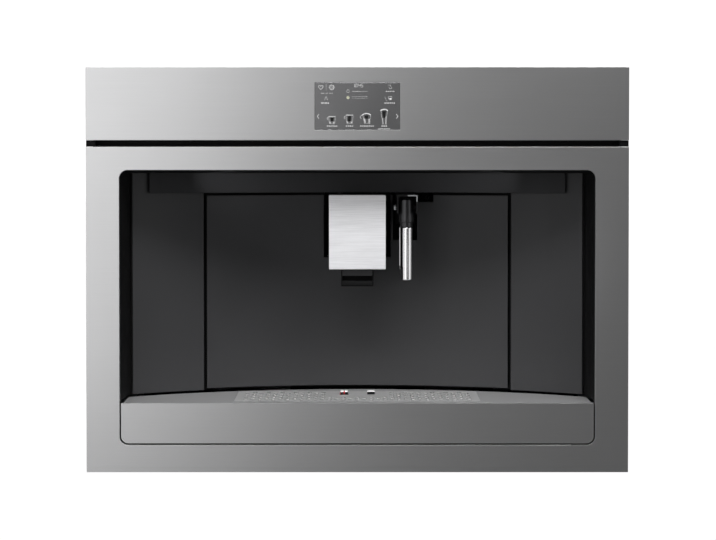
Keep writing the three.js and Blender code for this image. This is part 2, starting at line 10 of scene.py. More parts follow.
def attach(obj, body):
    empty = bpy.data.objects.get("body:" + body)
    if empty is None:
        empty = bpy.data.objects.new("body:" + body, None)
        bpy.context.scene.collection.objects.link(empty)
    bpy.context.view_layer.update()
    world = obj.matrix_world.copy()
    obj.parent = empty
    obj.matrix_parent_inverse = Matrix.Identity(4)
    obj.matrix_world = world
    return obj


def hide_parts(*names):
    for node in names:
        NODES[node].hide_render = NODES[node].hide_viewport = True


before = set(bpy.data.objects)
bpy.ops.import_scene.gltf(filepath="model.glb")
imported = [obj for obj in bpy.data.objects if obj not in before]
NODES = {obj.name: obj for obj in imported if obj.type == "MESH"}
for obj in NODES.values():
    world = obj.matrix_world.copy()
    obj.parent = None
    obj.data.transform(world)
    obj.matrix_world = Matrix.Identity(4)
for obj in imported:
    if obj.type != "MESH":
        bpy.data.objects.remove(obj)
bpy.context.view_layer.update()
SC = bpy.context.scene
for o in [o for o in SC.objects if o.type in ("LIGHT", "CAMERA")]:
    bpy.data.objects.remove(o)
for o in [o for o in SC.objects if o.type == "MESH" and o.name not in NODES]:
    bpy.data.objects.remove(o)

# ------------------------------------------------------------------ dimensions (mm)
DEPTH = 475.0
FASCIA_Z0, FASCIA_Z1 = 367.3, 447.5
OPEN_X, OPEN_Z0, OPEN_Z1, OPEN_R = 261.6, 32.05, 334.6, 9.5
WALL_D0, WALL_R = 149.2, 440.0
HOOD_D0, HOOD_R = 137.5, 455.0
SIDE_IN, SIDE_OUT, CENTRE_HALF = 176.3, 253.8, 172.9
SEAL_OUT = 255.5
TRAY_Z1 = 78.0


def Y(d):
    return d - DEPTH / 2


def wall_d(x):
    return WALL_D0 - (WALL_R - math.sqrt(WALL_R * WALL_R - x * x))


def hood_d(x):
    return HOOD_D0 - (HOOD_R - math.sqrt(HOOD_R * HOOD_R - x * x))


# ------------------------------------------------------------------ mesh helpers
def finish_mesh(name, bm, mat, body, replaces=(), slot=None, bevel=None, seg=3, angle=40, weighted=True, smooth=True):
    bmesh.ops.recalc_face_normals(bm, faces=bm.faces)
    me = bpy.data.meshes.new(name)
    bm.to_mesh(me)
    bm.free()
    for p in me.polygons:
        p.use_smooth = smooth
    ob = bpy.data.objects.new(name, me)
    SC.collection.objects.link(ob)
    ob.data.materials.append(mat)
    if bevel:
        m = ob.modifiers.new("round", "BEVEL")
        m.width = bevel / 1000
        m.segments = seg
        m.limit_method = "ANGLE"
        m.angle_limit = math.radians(angle)
        m.use_clamp_overlap = True
        m.harden_normals = False
    if weighted:
        w = ob.modifiers.new("normals", "WEIGHTED_NORMAL")
        w.keep_sharp = True
        w.weight = 80
    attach(ob, body)
    if replaces:
        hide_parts(*([replaces] if isinstance(replaces, str) else replaces))
    return ob


def area2(loop):
    return sum(a[0] * b[1] - b[0] * a[1] for a, b in zip(loop, loop[1:] + loop[:1]))


def offset_loop(loop, r):
    """Moves a closed loop by r against its outward normals (outer loops run anticlockwise, holes clockwise)."""
    n = len(loop)
    out = []
    for i in range(n):
        p, c, q = loop[i - 1], loop[i], loop[(i + 1) % n]
        e1 = Vector((c[0] - p[0], c[1] - p[1])).normalized()
        e2 = Vector((q[0] - c[0], q[1] - c[1])).normalized()
        n1, n2 = Vector((e1.y, -e1.x)), Vector((e2.y, -e2.x))
        m = n1 + n2
        k = m.dot(n1)
        m = n1 if k < 1e-6 else m / k
        if m.length > 2.0:
            m = m.normalized() * 2.0
        out.append((c[0] - m.x * r, c[1] - m.y * r))
    return out


def arc_pts(cx, cz, r, a0, a1, n):
    return [(cx + r * math.cos(math.radians(a0 + (a1 - a0) * i / n)),
             cz + r * math.sin(math.radians(a0 + (a1 - a0) * i / n))) for i in range(n + 1)]


def round_rect(x0, x1, z0, z1, r, n=8):
    rr = r if isinstance(r, (list, tuple)) else [r] * 4
    pts = []
    for cx, cz, q, a in ((x0, z0, 0, 180), (x1, z0, 1, 270), (x1, z1, 2, 0), (x0, z1, 3, 90)):
        k = rr[q]
        if k <= 0:
            pts.append((cx, cz))
            continue
        sx = 1 if q in (0, 3) else -1
        sz = 1 if q in (0, 1) else -1
        pts += arc_pts(cx + sx * k, cz + sz * k, k, a, a + 90, n)
    return pts


def slab(bm, outer, holes, t0, t1, place, r0=0.0, r1=0.0, seg=3):
    """A plate with rounded rims. outer and holes are loops of (u, v); t0..t1 its thickness; place(u, v, t) gives metres."""
    loops = [outer if area2(outer) > 0 else outer[::-1]]
    loops += [h if area2(h) < 0 else h[::-1] for h in holes]
    rows = []
    if r0 > 0:
        for k in range(seg + 1):
            a = math.pi / 2 * k / seg
            rows.append((t0 + r0 * (1 - math.cos(a)), r0 * (1 - math.sin(a))))
    else:
        rows.append((t0, 0.0))
    if r1 > 0:
        for k in range(seg + 1):
            a = math.pi / 2 * (1 - k / seg)
            rows.append((t1 - r1 * (1 - math.cos(a)), r1 * (1 - math.sin(a))))
    else:
        rows.append((t1, 0.0))
    caps = [[], []]
    for loop in loops:
        rings = []
        for t, off in rows:
            pts = offset_loop(loop, off) if off else loop
            rings.append([bm.verts.new(place(u, v, t)) for u, v in pts])
            if (t, off) == rows[0]:
                caps[0].append((pts, rings[-1]))
            if (t, off) == rows[-1]:
                caps[1].append((pts, rings[-1]))
        n = len(loop)
        for a, b in zip(rings, rings[1:]):
            for i in range(n):
                j = (i + 1) % n
                bm.faces.new((a[i], a[j], b[j], b[i]))
    for side in caps:
        verts = [v for _, ring in side for v in ring]
        tris = tessellate_polygon([[Vector((u, v, 0)) for u, v in pts] for pts, _ in side])
        for t in tris:
            if len(set(t)) == 3:
                try:
                    bm.faces.new([verts[i] for i in t])
                except ValueError:
                    pass


def xz(u, v, t):
    return (u / 1000, Y(t) / 1000, v / 1000)


def plan(u, v, t):
    return (u / 1000, Y(v) / 1000, t / 1000)


def yz_at(x):
    def f(u, v, t):
        return (t / 1000, Y(u) / 1000, v / 1000)
    return f


def add_slab(name, outer, holes, t0, t1, place, mat, body, r0=0.0, r1=0.0, seg=3, **kw):
    bm = bmesh.new()
    slab(bm, outer, holes, t0, t1, place, r0, r1, seg)
    return finish_mesh(name, bm, mat, body, **kw)


def rbox(bm, x0, x1, d0, d1, z0, z1):
    m = bmesh.ops.create_cube(bm, size=1.0)
    for v in m["verts"]:
        v.co = Vector(((x0 + (v.co.x + 0.5) * (x1 - x0)) / 1000,
                       Y(d0 + (v.co.y + 0.5) * (d1 - d0)) / 1000,
                       (z0 + (v.co.z + 0.5) * (z1 - z0)) / 1000))
    return m["verts"]


def add_box(name, x0, x1, d0, d1, z0, z1, mat, body, r=0.5, seg=3, **kw):
    bm = bmesh.new()
    rbox(bm, x0, x1, d0, d1, z0, z1)
    return finish_mesh(name, bm, mat, body, bevel=r, seg=seg, **kw)


def lathe(bm, profile, n=64, axis="z", at=(0, 0, 0)):
    """Turns a profile of (radius, height) in mm; at is (x, d, z). Radii of 0 close on the axis."""
    cx, cd, cz = at
    rings = []
    for r, h in profile:
        if r <= 1e-6:
            rings.append([None, h])
            continue
        ring = []
        for i in range(n):
            a = 2 * math.pi * i / n
            c, s = r * math.cos(a), r * math.sin(a)
            if axis == "z":
                p = (cx + c, cd + s, cz + h)
            elif axis == "y":
                p = (cx + c, cd + h, cz + s)
            else:
                p = (cx + h, cd + c, cz + s)
            ring.append(bm.verts.new((p[0] / 1000, Y(p[1]) / 1000, p[2] / 1000)))
        rings.append(ring)
    for i, ring in enumerate(rings):
        if ring[0] is None:
            h = ring[1]
            p = {"z": (cx, cd, cz + h), "y": (cx, cd + h, cz), "x": (cx + h, cd, cz)}[axis]
            rings[i] = [bm.verts.new((p[0] / 1000, Y(p[1]) / 1000, p[2] / 1000))]
    for a, b in zip(rings, rings[1:]):
        for i in range(n):
            j = (i + 1) % n
            if len(a) == 1 and len(b) == 1:
                continue
            if len(a) == 1:
                bm.faces.new((a[0], b[j], b[i]))
            elif len(b) == 1:
                bm.faces.new((a[i], a[j], b[0]))
            else:
                bm.faces.new((a[i], a[j], b[j], b[i]))
    if len(rings[0]) > 1 and len(rings[-1]) > 1:
        a, b = rings[-1], rings[0]
        for i in range(n):
            j = (i + 1) % n
            bm.faces.new((a[i], a[j], b[j], b[i]))


def add_lathe(name, profile, mat, body, n=64, axis="z", at=(0, 0, 0), **kw):
    bm = bmesh.new()
    lathe(bm, profile, n, axis, at)
    return finish_mesh(name, bm, mat, body, **kw)


def soften(profile, r, n=4):
    """Rounds the corners of an open profile by r, where both neighbours leave room."""
    out = [profile[0]]
    for i in range(1, len(profile) - 1):
        p, c, q = Vector(profile[i - 1]), Vector(profile[i]), Vector(profile[i + 1])
        a, b = (p - c), (q - c)
        k = min(r, a.length * 0.45, b.length * 0.45)
        if k < 1e-4:
            out.append(profile[i])
            continue
        s, e = c + a.normalized() * k, c + b.normalized() * k
        for j in range(n + 1):
            t = j / n
            out.append(tuple((1 - t) ** 2 * s + 2 * t * (1 - t) * c + t * t * e))
    out.append(profile[-1])
    return out


def cell_panel(bm, us, vs, inside, t0, t1, place):
    """A thick sheet made of grid cells: only the cells for which inside(u, v) is true are kept."""
    nu, nv = len(us) - 1, len(vs) - 1
    keep = [[inside((us[i] + us[i + 1]) / 2, (vs[j] + vs[j + 1]) / 2) for j in range(nv)] for i in range(nu)]
    cache = {}

    def vert(i, j, side):
        k = (i, j, side)
        if k not in cache:
            cache[k] = bm.verts.new(place(us[i], vs[j], t1 if side else t0))
        return cache[k]

    def has(i, j):
        return 0 <= i < nu and 0 <= j < nv and keep[i][j]

    for i in range(nu):
        for j in range(nv):
            if not keep[i][j]:
                continue
            q = [(i, j), (i + 1, j), (i + 1, j + 1), (i, j + 1)]
            bm.faces.new([vert(a, b, 0) for a, b in q])
            bm.faces.new([vert(a, b, 1) for a, b in reversed(q)])
            for (a, b), (c, d), (ni, nj) in ((q[0], q[1], (i, j - 1)), (q[1], q[2], (i + 1, j)),
                                             (q[2], q[3], (i, j + 1)), (q[3], q[0], (i - 1, j))):
                if not has(ni, nj):
                    bm.faces.new((vert(c, d, 0), vert(a, b, 0), vert(a, b, 1), vert(c, d, 1)))


def ticks(marks, step):
    """Grid lines through every mark, no farther apart than step."""
    out = []
    for a, b in zip(marks, marks[1:]):
        n = max(1, math.ceil((b - a) / step))
        out += [a + (b - a) * i / n for i in range(n)]
    return out + [marks[-1]]


# ------------------------------------------------------------------ materials
def new_mat(name):
    m = bpy.data.materials.new(name)
    m.use_nodes = True
    nt = m.node_tree
    b = nt.nodes["Principled BSDF"]
    return m, nt, b


def N(nt, kind, **props):
    n = nt.nodes.new(kind)
    for k, v in props.items():
        setattr(n, k, v)
    return n


def coords(nt, scale=(1, 1, 1), rot=(0, 0, 0), loc=(0, 0, 0)):
    tc = N(nt, "ShaderNodeTexCoord")
    mp = N(nt, "ShaderNodeMapping")
    mp.inputs["Scale"].default_value = scale
    mp.inputs["Rotation"].default_value = rot
    mp.inputs["Location"].default_value = loc
    nt.links.new(tc.outputs["Object"], mp.inputs["Vector"])
    return mp.outputs["Vector"]


def noise(nt, vec, scale, detail=4, rough=0.55, dist=0.0):
    n = N(nt, "ShaderNodeTexNoise")
    n.inputs["Scale"].default_value = scale
    n.inputs["Detail"].default_value = detail
    n.inputs["Roughness"].default_value = rough
    n.inputs["Distortion"].default_value = dist
    nt.links.new(vec, n.inputs["Vector"])
    return n.outputs["Fac"]


def ramp(nt, fac, stops, interp="LINEAR"):
    r = N(nt, "ShaderNodeValToRGB")
    cr = r.color_ramp
    cr.interpolation = interp
    while len(cr.elements) < len(stops):
        cr.elements.new(0.5)
    for e, (pos, col) in zip(cr.elements, stops):
        e.position = pos
        e.color = (*col, 1) if isinstance(col, (tuple, list)) else (col, col, col, 1)
    nt.links.new(fac, r.inputs["Fac"])
    return r.outputs["Color"]


def math_node(nt, op, a, b=None, c=None, clamp=False):
    n = N(nt, "ShaderNodeMath", operation=op, use_clamp=clamp)
    for i, v in enumerate((a, b, c)):
        if v is None:
            continue
        if isinstance(v, (int, float)):
            n.inputs[i].default_value = v
        else:
            nt.links.new(v, n.inputs[i])
    return n.outputs[0]


def map_range(nt, v, a, b, lo, hi, smooth=False):
    n = N(nt, "ShaderNodeMapRange")
    if smooth:
        n.interpolation_type = "SMOOTHSTEP"
    n.inputs["From Min"].default_value = a
    n.inputs["From Max"].default_value = b
    n.inputs["To Min"].default_value = lo
    n.inputs["To Max"].default_value = hi
    nt.links.new(v, n.inputs["Value"])
    return n.outputs["Result"]


def mix_col(nt, fac, a, b, mode="MIX"):
    n = N(nt, "ShaderNodeMix", data_type="RGBA", blend_type=mode)
    for key, v in ((0, fac), (6, a), (7, b)):
        if isinstance(v, (int, float)):
            n.inputs[key].default_value = v
        elif isinstance(v, (tuple, list)):
            n.inputs[key].default_value = (*v, 1) if len(v) == 3 else v
        else:
            nt.links.new(v, n.inputs[key])
    return n.outputs[2]


def bump(nt, b, height, strength, distance):
    n = N(nt, "ShaderNodeBump")
    n.inputs["Strength"].default_value = strength
    n.inputs["Distance"].default_value = distance
    nt.links.new(height, n.inputs["Height"])
    nt.links.new(n.outputs["Normal"], b.inputs["Normal"])
    return n


def brushed(name, col, rough, along="x", fine=2600.0, run=14.0, contrast=0.10, rvar=0.05, bumps=0.05, metal=1.0, edge=0.0):
    """Brushed metal: long streaks along one axis, broken up by a slower cloud."""
    m, nt, b = new_mat(name)
    s = {"x": (run, fine, fine), "z": (fine, fine, run), "y": (fine, run, fine)}[along]
    v = coords(nt, scale=s)
    streak = noise(nt, v, 1.0, 5, 0.62)
    cloud = noise(nt, coords(nt), 9.0, 3, 0.5)
    tone = map_range(nt, streak, 0.25, 0.75, 1 - contrast, 1 + contrast)
    tone2 = map_range(nt, cloud, 0.3, 0.7, 0.985, 1.015)
    k = math_node(nt, "MULTIPLY", tone, tone2)
    colr = mix_col(nt, 1.0, col, k, "MULTIPLY")
    nt.links.new(colr, b.inputs["Base Color"])
    b.inputs["Metallic"].default_value = metal
    r = map_range(nt, streak, 0.25, 0.75, rough - rvar, rough + rvar)
    nt.links.new(r, b.inputs["Roughness"])
    bump(nt, b, streak, bumps, 0.0002)
    return m


def plastic(name, col, rough, grain=900.0, depth=0.05, var=0.12, rvar=0.06, coat=0.0, spec=0.5):
    """Moulded plastic or fine powder coat: a tight grain with a slow tone drift."""
    m, nt, b = new_mat(name)
    g = noise(nt, coords(nt), grain, 3, 0.6)
    cloud = noise(nt, coords(nt), 14.0, 4, 0.55)
    k = map_range(nt, cloud, 0.3, 0.7, 1 - var, 1 + var)
    colr = mix_col(nt, 1.0, col, k, "MULTIPLY")
    nt.links.new(colr, b.inputs["Base Color"])
    r = map_range(nt, cloud, 0.3, 0.7, rough - rvar, rough + rvar)
    r2 = map_range(nt, g, 0.3, 0.7, -0.02, 0.02)
    nt.links.new(math_node(nt, "ADD", r, r2), b.inputs["Roughness"])
    b.inputs["Specular IOR Level"].default_value = spec
    if coat:
        b.inputs["Coat Weight"].default_value = coat
        b.inputs["Coat Roughness"].default_value = 0.12
    bump(nt, b, g, depth, 0.0002)
    return m


def chrome(name, col, rough=0.06):
    m, nt, b = new_mat(name)
    fine = noise(nt, coords(nt, scale=(2200, 2200, 60)), 1.0, 3, 0.6)
    smear = noise(nt, coords(nt), 60.0, 4, 0.6)
    k = map_range(nt, smear, 0.3, 0.7, 0.97, 1.0)
    nt.links.new(mix_col(nt, 1.0, col, k, "MULTIPLY"), b.inputs["Base Color"])
    b.inputs["Metallic"].default_value = 1.0
    r = map_range(nt, smear, 0.35, 0.75, rough, rough + 0.05)
    nt.links.new(r, b.inputs["Roughness"])
    bump(nt, b, fine, 0.01, 0.0001)
    return m


def galvanised(name, col):
    """Zinc coated sheet: a faint spangle of crystals, each with its own tone and gloss."""
    m, nt, b = new_mat(name)
    vo = N(nt, "ShaderNodeTexVoronoi", feature="F1")
    vo.inputs["Scale"].default_value = 150.0
    warp = noise(nt, coords(nt), 40.0, 3, 0.5)
    nt.links.new(coords(nt), vo.inputs["Vector"])
    sep = N(nt, "ShaderNodeSeparateColor")
    nt.links.new(vo.outputs["Color"], sep.inputs["Color"])
    k = map_range(nt, sep.outputs[0], 0, 1, 0.95, 1.03)
    k2 = map_range(nt, warp, 0.3, 0.7, 0.985, 1.015)
    nt.links.new(mix_col(nt, 1.0, col, math_node(nt, "MULTIPLY", k, k2), "MULTIPLY"), b.inputs["Base Color"])
    b.inputs["Metallic"].default_value = 0.8
    nt.links.new(map_range(nt, sep.outputs[1], 0, 1, 0.48, 0.55), b.inputs["Roughness"])
    bump(nt, b, vo.outputs["Distance"], 0.012, 0.0003)
    return m


def clear(name, col, rough, trans=0.9, alpha=0.5):
    m, nt, b = new_mat(name)
    n = noise(nt, coords(nt), 30.0, 3, 0.5)
    nt.links.new(mix_col(nt, 1.0, col, map_range(nt, n, 0.3, 0.7, 0.94, 1.0), "MULTIPLY"), b.inputs["Base Color"])
    nt.links.new(map_range(nt, n, 0.3, 0.7, rough, rough + 0.06), b.inputs["Roughness"])
    b.inputs["Transmission Weight"].default_value = trans
    b.inputs["IOR"].default_value = 1.49
    b.inputs["Alpha"].default_value = alpha
    bump(nt, b, n, 0.05, 0.0005)
    return m


STEEL = brushed("front_steel", (0.60, 0.60, 0.605), 0.335, "x", fine=2400, run=10, contrast=0.035, rvar=0.02, bumps=0.012)
TRAYTOP = brushed("tray_top_steel", (0.70, 0.70, 0.705), 0.62, "x", fine=2200, run=12, contrast=0.07, rvar=0.04, bumps=0.05)
GRID = brushed("grid_steel", (0.90, 0.90, 0.90), 0.62, "x", fine=1800, run=30, contrast=0.05, rvar=0.04, bumps=0.04)
GRIDCUT = brushed("grid_cut_edges", (0.60, 0.60, 0.60), 0.66, "z", fine=1800, run=300, contrast=0.08, rvar=0.04, bumps=0.04)
SPOUT = brushed("spout_plate", (0.88, 0.88, 0.90), 0.5, "x", fine=1100, run=32, contrast=0.10, rvar=0.07, bumps=0.12, metal=0.45)
CHROME = chrome("chrome", (0.90, 0.90, 0.91), 0.07)
TUBE = chrome("tube_chrome", (0.90, 0.90, 0.91), 0.15)
PANEL = plastic("panel_anthracite", (0.0285, 0.0285, 0.0305), 0.52, grain=1500, depth=0.03, var=0.04, rvar=0.03, spec=0.4)
HOOD = plastic("hood_anthracite", (0.030, 0.030, 0.032), 0.62, grain=1500, depth=0.03, var=0.04, rvar=0.03, spec=0.2)
BLACK = plastic("black_plastic", (0.0035, 0.0035, 0.0038), 0.58, grain=1100, depth=0.06, var=0.15, spec=0.13)
DARK = plastic("spout_black", (0.012, 0.012, 0.013), 0.38, grain=1300, depth=0.04, var=0.10, spec=0.5)
PAINT = plastic("black_powder_coat", (0.008, 0.008, 0.009), 0.6, grain=1600, depth=0.12, var=0.1, spec=0.3)
GREYP = plastic("grey_plastic", (0.12, 0.12, 0.125), 0.5, grain=1000, depth=0.05)
WHITEP = plastic("white_plastic", (0.72, 0.72, 0.69), 0.45, grain=900, depth=0.04, var=0.04)
REDP = plastic("red_plastic", (0.5, 0.012, 0.02), 0.25, grain=900, depth=0.02, var=0.08, coat=0.6)
ZINC = galvanised("galvanised_sheet", (0.56, 0.58, 0.59))
CAST = brushed("cast_aluminium", (0.62, 0.63, 0.64), 0.5, "z", fine=700, run=650, contrast=0.08, rvar=0.06, bumps=0.25)
TOOL = brushed("tool_steel", (0.42, 0.43, 0.44), 0.3, "z", fine=2000, run=80, contrast=0.12, rvar=0.06, bumps=0.08)
BRASS = brushed("pump_brass", (0.72, 0.52, 0.24), 0.32, "y", fine=1800, run=60, contrast=0.08, rvar=0.05, bumps=0.06)
SILICONE = plastic("silicone", (0.62, 0.62, 0.57), 0.45, grain=600, depth=0.03, var=0.05)
PCB = plastic("circuit_board", (0.02, 0.10, 0.045), 0.35, grain=500, depth=0.05, var=0.2, coat=0.3)
CLEAR = clear("clear_plastic", (0.80, 0.87, 0.90), 0.08, 0.85, 0.55)
SMOKED = clear("smoked_plastic", (0.22, 0.17, 0.14), 0.12, 0.7, 0.75)

GRIPMAT = brushed("grip_black", (0.055, 0.055, 0.058), 0.3, "z", fine=1700, run=60, contrast=0.12, rvar=0.04, bumps=0.03, metal=0.85)
# guide rod steel darkened nearly to black: painted shade, so the rods stay dark in the gap above the spout
ROD_DARKENED_AS_SHADE = brushed("rod_steel_painted_shade", (0.035, 0.035, 0.037), 0.5, "z", fine=1800, run=80, contrast=0.1, rvar=0.05, bumps=0.05)
# near-black: the nozzle block's own black plastic, and painted shade in the gap ends, the nozzle slot and the gap
# beside the outlet tube
BLACK_AND_SHADE = plastic("black_plastic_and_painted_shade", (0.002, 0.002, 0.0022), 0.6, grain=1100, depth=0.05, var=0.12, spec=0.1)
# white standing for the light on the tops of black lugs: painted highlight
TOP_HIGHLIGHT_WHITE = plastic("painted_top_highlight", (0.92, 0.92, 0.91), 0.4, grain=900, depth=0.02, var=0.03)
NOZZLE_FACE = plastic("nozzle_face", (0.027, 0.027, 0.029), 0.5, grain=1400, depth=0.03, var=0.06, spec=0.4)
NOZZLE_LIP = plastic("nozzle_lip", (0.003, 0.003, 0.0033), 0.5, grain=1400, depth=0.03, var=0.06, spec=0.2)


def display_glass_mat():
    """The unlit part of the touch display: a dark mirror behind satin glass."""
    m, nt, b = new_mat("display_pane_grey")
    n = noise(nt, coords(nt), 20.0, 2, 0.5)
    nt.links.new(mix_col(nt, 1.0, (0.275, 0.275, 0.28), map_range(nt, n, 0.3, 0.7, 0.98, 1.02), "MULTIPLY"), b.inputs["Base Color"])
    nt.links.new(map_range(nt, n, 0.3, 0.7, 0.315, 0.335), b.inputs["Roughness"])
    b.inputs["Metallic"].default_value = 1.0
    return m


def lit(name, col, strength):
    """A lit symbol: its glow is nearly even, with a slow drift."""
    m, nt, b = new_mat(name)
    n = noise(nt, coords(nt), 60.0, 2, 0.5)
    nt.links.new(mix_col(nt, 1.0, col, map_range(nt, n, 0.3, 0.7, 0.92, 1.0), "MULTIPLY"), b.inputs["Emission Color"])
    b.inputs["Emission Strength"].default_value = strength
    b.inputs["Base Color"].default_value = (0.3, 0.3, 0.3, 1)
    b.inputs["Roughness"].default_value = 0.5
    return m


LIT = lit("lit_symbols", (0.20, 0.20, 0.20), 1.0)
LIT_BRIGHT = lit("lit_symbols_bright", (0.42, 0.42, 0.42), 1.0)
LIT_DIM = lit("lit_symbols_dim", (0.10, 0.10, 0.10), 1.0)
LIT_DARK = plastic("unlit_symbols", (0.008, 0.008, 0.008), 0.4, grain=900, depth=0.02, var=0.1, spec=0.3)
LIT_GREEN = lit("lit_level", (0.17, 0.18, 0.04), 1.0)

# every carried-over CAD node gets its finish here; the pieces built below replace the rest
CAD_FINISH = {
    "base_plate": ZINC, "left_wall": ZINC, "right_wall": ZINC, "top_cover": ZINC, "rear_cover": ZINC,
    "front_frame": PAINT, "control_fascia": STEEL, "display_glass": BLACK, "display_module": BLACK, "grip_strip": BLACK,
    "door_frame": STEEL, "door_liner": BLACK, "side_panel_left": PANEL, "side_panel_right": PANEL, "hood_panel": HOOD,
    "door_bush_lower": ZINC, "door_bush_upper": ZINC, "door_strike": ZINC, "hinge_bracket_lower": ZINC,
    "hinge_bracket_upper": ZINC, "latch": BLACK, "centre_panel": PANEL, "niche_carrier": BLACK,
    "spout_guide_rod_left": CHROME, "spout_guide_rod_right": CHROME, "wand_bracket": CHROME, "wand_pin": ZINC,
    "milk_hose_port": GREYP, "spout_front_plate": SPOUT, "spout_body": DARK, "nozzle_block": DARK,
    "spout_carriage": BLACK, "wand_handle": DARK, "wand_tube": CHROME, "tray_front_panel": STEEL, "drip_tray": BLACK,
    "tray_top": TRAYTOP, "grounds_container": BLACK, "tray_float": REDP, "cup_grid": GRID, "grid_lift_tab": BLACK,
    "water_tank": CLEAR, "water_tank_lid": GREYP, "bean_hopper": SMOKED, "bean_hopper_lid": BLACK,
    "grinder_housing": CAST, "grinder_motor": ZINC, "grinder_burr": TOOL, "brew_unit_frame": GREYP,
    "brew_cylinder": BLACK, "brew_piston": WHITEP, "brew_spindle": TOOL, "boiler": CAST, "pump": BRASS,
    "hose_tank_pump": SILICONE, "hose_boiler_brew": SILICONE, "power_board": PCB, "fan_housing": BLACK,
    "fan_rotor": BLACK, "mains_inlet": BLACK,
}
for n, o in NODES.items():
    m = CAD_FINISH[n]
    o.data.materials.clear()
    o.data.materials.append(m)



def smooth_group():
    """Shades smooth everywhere but on edges sharper than 32 degrees."""
    g = bpy.data.node_groups.new("soft_shading", "GeometryNodeTree")
    g.interface.new_socket(name="Geometry", in_out="INPUT", socket_type="NodeSocketGeometry")
    g.interface.new_socket(name="Geometry", in_out="OUTPUT", socket_type="NodeSocketGeometry")
    gi, go = g.nodes.new("NodeGroupInput"), g.nodes.new("NodeGroupOutput")
    face, edge = g.nodes.new("GeometryNodeSetShadeSmooth"), g.nodes.new("GeometryNodeSetShadeSmooth")
    face.domain = "FACE"
    edge.domain = "EDGE"
    ang = g.nodes.new("GeometryNodeInputMeshEdgeAngle")
    cmp = g.nodes.new("FunctionNodeCompare")
    cmp.data_type = "FLOAT"
    cmp.operation = "LESS_THAN"
    cmp.inputs["B"].default_value = math.radians(32)
    g.links.new(ang.outputs["Unsigned Angle"], cmp.inputs["A"])
    g.links.new(gi.outputs[0], face.inputs["Geometry"])
    face.inputs["Shade Smooth"].default_value = True
    g.links.new(face.outputs[0], edge.inputs["Geometry"])
    g.links.new(cmp.outputs["Result"], edge.inputs["Shade Smooth"])
    g.links.new(edge.outputs[0], go.inputs[0])
    return g


SOFT = smooth_group()


def soften_nodes():
    """Small rounded edges and smooth round faces on the CAD nodes that stay visible."""
    for n, o in NODES.items():
        if o.hide_render:
            continue
        w = o.modifiers.new("merge", "WELD")
        w.merge_threshold = 0.00002
        m = o.modifiers.new("round", "BEVEL")
        m.width = 0.0004
        m.segments = 2
        m.limit_method = "ANGLE"
        m.angle_limit = math.radians(50)
        m.use_clamp_overlap = True
        k = o.modifiers.new("shade", "NODES")
        k.node_group = SOFT


# ------------------------------------------------------------------ control fascia
ob = add_slab("fascia_shell", round_rect(-298, 298, FASCIA_Z0, FASCIA_Z1, 0.6, 3), [round_rect(-46.85, 46.85, 378.7, 430.8, 0.8, 3)],
              0.0, 1.5, xz, STEEL, "machine", r0=0.2, seg=3, weighted=True, slot="brushed_front")


def add_rim(name, x0, x1, z0, z1, r, d0, d1, t, mat, body, inward=True, **kw):
    """Folded edge behind a front sheet: a ring of thickness t from depth d0 to d1."""
    outer = round_rect(x0, x1, z0, z1, r, 6)
    inner = round_rect(x0 + t, x1 - t, z0 + t, z1 - t, max(r - t, 0.0) if r > t else 0, 6)
    return add_slab(name, outer, [inner], d0, d1, xz, mat, body, **kw)


rim = add_rim("fascia_folds", -298, 298, FASCIA_Z0, FASCIA_Z1, 0.6, 1.3, 18.0, 1.5, STEEL, "machine", r1=0.3, slot="brushed_front")
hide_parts("control_fascia")

# ------------------------------------------------------------------ door front
opening = round_rect(-OPEN_X, OPEN_X, OPEN_Z0, OPEN_Z1, OPEN_R, 12)
door = add_slab("door_front_sheet", round_rect(-298, 298, 2, 360, 0.6, 3), [opening], 0.0, 1.5, xz, STEEL, "door",
                r0=0.2, seg=3, slot="brushed_front")
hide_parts("door_frame")
inner_fold = add_slab("door_opening_fold", round_rect(-OPEN_X - 1.5, OPEN_X + 1.5, OPEN_Z0 - 1.5, OPEN_Z1 + 1.5, OPEN_R + 1.5, 12),
                      [opening], 1.3, 8.0, xz, STEEL, "door", r1=0.4, slot="brushed_front")


def door_fold_u():
    """The folded outer edge of the door, with its two notches for the hinge arms."""
    bm = bmesh.new()
    for (x0, x1, z0, z1) in ((-298, 298, 358.5, 360), (-298, 298, 2, 3.5), (296.5, 298, 3.4, 358.6),
                             (-298, -296.5, 3.4, 11.5), (-298, -296.5, 17.5, 344.5), (-298, -296.5, 350.5, 358.6)):
        rbox(bm, x0, x1, 1.3, 15, z0, z1)
    return finish_mesh("door_outer_fold", bm, STEEL, "door", bevel=0.25, seg=2, slot="brushed_front")


door_fold_u()

# ------------------------------------------------------------------ tray front
tray_outline = round_rect(-260, 260, 33.9, 78, [8, 8, 0.5, 0.5], 12)
tray_face = add_slab("tray_front_sheet", tray_outline, [], 0.0, 1.5, xz, STEEL, "tray", r0=0.08, seg=2, slot="brushed_front")
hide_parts("tray_front_panel")
tray_rim = add_slab("tray_front_folds", tray_outline, [round_rect(-258.5, 258.5, 35.4, 76.5, [6.5, 6.5, 0.1, 0.1], 12)], 1.3, 6.4, xz,
                    STEEL, "tray", r1=0.3, slot="brushed_front")

# ------------------------------------------------------------------ niche panels
def wall_place(u, v, t):
    return (u / 1000, Y(wall_d(u) + t) / 1000, v / 1000)


def hood_place(u, v, t):
    """The hood's band bends back to the side panels at its ends."""
    k = min(max((abs(u) - 185) / 45, 0.0), 1.0)
    return (u / 1000, Y(hood_d(u) + 4.4 * k * k * (3 - 2 * k) + t) / 1000, v / 1000)


def centre_inside(u, v):
    if abs(u) < 38.8 and v > 231.9:
        return False
    if 41.2 < u < 69.2 and v > 252:
        return False
    if 68.5 < u < 88 and v > 296.3:
        return False
    return True


